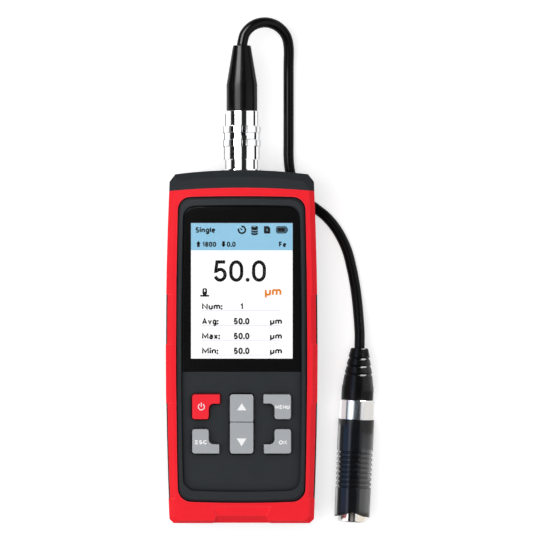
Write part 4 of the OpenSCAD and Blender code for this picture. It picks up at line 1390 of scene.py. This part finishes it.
@dataclass
class Keypad(Assembly):
    """Six keys with their printed marks."""

    edge: float = 0.4
    mid_edge: float = 0.22
    top: float = 31.8
    ink: float = 0.03
    letter: float = 1.72
    bold: float = 0.25

    def build(self) -> None:
        """Dress the keys and print their marks."""
        for node in ("escape_key", "up_key", "down_key", "menu_key", "ok_key"):
            self.dress(node, KEY_GREY, self.mid_edge if node in ("up_key", "down_key") else self.edge)
        self.dress("power_key", KEY_RED, self.edge)
        self.power_mark()
        self.arrows()
        self.words()

    def power_mark(self) -> None:
        """Print the ring and bar of the power key."""
        x, y = -17.02, -25.4
        mark = Artwork("mark_power", self.top, self.ink)
        mark.shape(arc_band(x, y, 1.28, 0.44, 122, 296))
        mark.shape(rounded_box(x, y + 0.85, 0.46, 1.9, 0.2))
        self.add(mark.build(), KEY_INK_PINK, "power_key")

    def arrows(self) -> None:
        """Print the up and down triangles."""
        up = Artwork("mark_up", self.top, self.ink)
        up.shape([(-1.95, -26.9), (2.05, -26.9), (0.05, -23.9)])
        self.add(up.build(), KEY_INK, "up_key")
        down = Artwork("mark_down", self.top, self.ink)
        down.shape([(-2.1, -38.75), (2.05, -38.75), (-0.05, -42.05)])
        self.add(down.build(), KEY_INK, "down_key")

    def words(self) -> None:
        """Print the three key words."""
        words = (
            ("menu_key", "MENU", 17.25, -26.35, 6.0),
            ("escape_key", "ESC", -17.08, -41.22, 5.25),
            ("ok_key", "OK", 17.45, -41.3, 3.6),
        )
        for body, word, x, y, width in words:
            mark = Artwork("mark_" + word.lower(), self.top, self.ink)
            mark.text(word, x, y, self.letter, Align.MIDDLE, width, self.bold)
            self.add(mark.build(), KEY_INK, body)


@dataclass
class Plug(Assembly):
    """Panel socket, release sleeve, collet nut and boot on the socket axis."""

    axis_z: float = 18.0
    bore_r: float = 6.1
    sleeve_y: float = 79.5
    sleeve_l: float = 14.2
    sleeve_r: float = 7.65
    ring_r: float = 8.05
    rings: tuple[Point2, Point2] = ((5.4, 8.35), (11.2, 14.15))
    counterbore: Point2 = (7.2, 9.0)
    ring_step: Point2 = (0.15, 0.02)
    ring_flat: float = 0.2
    knurl: float = 0.04
    steps: int = 288
    edge: float = 0.16
    nut_edge: float = 0.2
    boot_edge: float = 0.35

    def build(self) -> None:
        """Dress the socket and plug, and turn the knurled sleeve."""
        for node in ("socket_shell", "socket_nut", "plug_shell"):
            self.dress(node, CHROME)
        self.dress("plug_backnut", CHROME, self.nut_edge)
        self.dress("socket_insert", CARRIER)
        self.dress("plug_insert", CARRIER)
        self.dress("plug_pins", PIN_GOLD)
        self.dress("plug_boot", BOOT_BLACK, self.boot_edge)
        self.sleeve()

    def sleeve(self) -> None:
        """Turn the release sleeve with its two knurled rings."""
        wide, ring, flat, knurl = self.sleeve_r, self.ring_r, self.ring_flat, self.knurl
        step, rise = self.ring_step
        profile: list[Point3] = [(self.bore_r, 0, 0), (wide, 0, 0)]
        for low, high in self.rings:
            profile += [(wide, low, 0), (ring - step, low + rise, 0), (ring, low + flat, knurl),
                        (ring, high - flat, knurl), (ring - step, high - rise, 0), (wide, high, 0)]
        radius, depth = self.counterbore
        profile += [(wide, self.sleeve_l, 0), (radius, self.sleeve_l, 0), (radius, depth, 0),
                    (self.bore_r, depth, 0)]
        foot = (0, self.sleeve_y, self.axis_z)
        obj = lathe("release_sleeve_knurled", profile, self.steps, foot, Vector((0, 1, 0)))
        Softener.bevel(obj, self.edge)
        self.add(obj, CHROME, "release_sleeve", "chrome", ["plug_sleeve"])


@dataclass
class ProbeLead(Assembly):
    """Cable from the plug to the probe, and the probe itself."""

    diameter: float = 4.5
    table_gap: float = 0.1
    samples: int = 6
    exit: Point3 = (0.0, 128.1, 18.0)
    entry: Point3 = PROBE_ENTRY
    loop: tuple[Point3, ...] = (
        (0, 0, 0), (1.35, 5.2, -0.7), (5, 8.85, -2.2), (10, 10.2, -4.3), (15, 8.85, -6.7),
        (18.65, 5.2, -9.2), (20, 0.2, -11.5), (20, -8, -14.2), (20, -16, -15.5), (20, -24, -15.7),
        (20, -32, -15.7), (20, -40, -15.7), (20, -47, -15.7),
    )
    run: tuple[Point3, ...] = (
        (-29.9, 76.5, -5.4), (-28.6, 71.2, -5.4), (-26.3, 66.8, -5.4), (-22.7, 63.1, -5.4),
        (-18.6, 59.95, -5.4), (-14.5, 56.7, -5.4), (-10.8, 52.5, -5.4), (-7.6, 47.3, -5.4),
        (-5.1, 41.5, -5.4), (-3.35, 34.8, -5.4), (-2, 28, -5.2), (-1, 20.7, -4.2), (-0.35, 13.2, -2.2),
        (0.05, 6.2, -0.5), (0, 0, 0),
    )
    boot_tip_r: float = 3.75
    boot_r: float = 6.925
    boot_taper: float = 16.2
    boot_l: float = 22.3
    spine_r: float = 5.5
    spine_in: float = 6.3
    ribs: tuple[float, ...] = (4.5, 7.8, 11.3)
    rib_w: float = 1.2
    rib_depth: float = 0.5
    rib_lip: float = 0.12
    rib_drop: float = 0.25
    rib_climb: float = 0.8
    boot_bore: float = 0.4
    boot_round: float = 0.3
    boot_collar: float = 0.45
    boot_edge: float = 0.15
    boot_steps: int = 96
    # Where the taper turns into the straight end: how far under the full radius, and how far along
    boot_turn: tuple[Point2, ...] = ((0.35, -0.6), (0.05, 0.7), (0.0, 2.2))
    boot_end: float = 0.25
    ring_edge: float = 0.2
    barrel_edge: float = 0.12
    tip_edge: float = 0.2
    pole_edge: float = 0.1

    def direction(self) -> Vector:
        """Give the way from the cable to the sensor head."""
        a = math.radians(PROBE_LEAN)
        return Vector((-math.sin(a), -math.cos(a), 0))

    def route(self) -> list[Vector]:
        """Give the cable's middle line in metres, smooth through its points.

        Returns:
            Points close enough together to follow the bends.
        """
        low = self.diameter / 2 + self.table_gap
        stretches = ((self.exit, self.loop), (self.entry, self.run))
        knots = [Vector(p) + Vector(start) for start, points in stretches for p in points]
        for p in knots:
            p.z = max(p.z, low)
        line: list[Vector] = []
        for i in range(len(knots) - 1):
            a, b, c, d = (knots[min(max(i + k, 0), len(knots) - 1)] for k in (-1, 0, 1, 2))
            for k in range(self.samples):
                t = k / self.samples
                line.append(0.5 * (2 * b + (c - a) * t + (2 * a - 5 * b + 4 * c - d) * t * t
                                   + (3 * b - a - 3 * c + d) * t ** 3))
        line.append(knots[-1])
        return [p * MM for p in line]

    def cable(self) -> None:
        line = self.route()
        curve = bpy.data.curves.new("cable_jacket", "CURVE")
        curve.dimensions = "3D"
        curve.bevel_depth = self.diameter / 2 * MM
        curve.bevel_resolution = 8
        curve.use_fill_caps = True
        spline = curve.splines.new("POLY")
        spline.points.add(len(line) - 1)
        for point, place in zip(spline.points, line):
            point.co = (*place, 1)
        spline.use_smooth = True
        obj = bpy.data.objects.new("cable_jacket", curve)
        bpy.context.scene.collection.objects.link(obj)
        self.add(obj, CABLE_BLACK, "probe_lead", "black_rubber", ["probe_cable"])

    def boot(self) -> None:
        """Turn the ribbed strain relief at the probe's cable end."""
        tip, full, end, lip = self.boot_tip_r, self.boot_r, self.boot_l, self.rib_lip
        grow = (full - tip) / self.boot_taper
        profile: list[Point3] = [(self.boot_bore, 0, 0), (tip - self.boot_round, 0, 0),
                                 (tip, self.boot_round, 0), (tip + grow * self.boot_collar, self.boot_collar, 0)]
        for z in self.ribs:
            near, far = z - self.rib_w / 2, z + self.rib_w / 2
            high, back = tip + grow * near + lip, tip + grow * far
            profile += [(high - lip * grow, near - lip, 0), (high, near, 0),
                        (high - self.rib_depth, near + self.rib_drop, 0),
                        (back - self.rib_depth, far - self.rib_climb, 0),
                        (back, far, 0), (back + lip * grow, far + lip, 0)]
        profile += [(full - under, self.boot_taper + past, 0) for under, past in self.boot_turn]
        inner = end - self.spine_in
        profile += [(full, end - self.boot_end, 0), (full - self.boot_end, end, 0), (self.spine_r, end, 0),
                    (self.spine_r, inner, 0), (self.boot_bore, inner, 0)]
        obj = lathe("probe_boot_ribbed", profile, self.boot_steps, self.entry, self.direction())
        Softener.bevel(obj, self.boot_edge)
        self.add(obj, BOOT_BLACK, "probe_lead", "black_rubber", ["probe_boot"])

    def build(self) -> None:
        """Lay the cable, turn the boot and dress the probe."""
        self.cable()
        self.boot()
        self.dress("probe_spine", ZINC)
        self.dress("probe_spring", ZINC)
        self.dress("probe_ring", RING_SILVER, self.ring_edge)
        self.dress("probe_barrel", BARREL_BLACK, self.barrel_edge)
        self.dress("sensor_tip", SENSOR_CHROME, self.tip_edge)
        self.dress("sensor_pole", POLE_STEEL, self.pole_edge)


def main() -> None:
    """Build the studio and every sub-assembly in order."""
    logging.basicConfig(level=logging.INFO, format="%(name)s: %(message)s")
    for part in (Studio(), ProbeLead(), Plug(), Case(), Display(), Keypad(), Inside()):
        LOG.info("building %s", type(part).__name__)
        part.build()


if __name__ == "__main__":
    main()
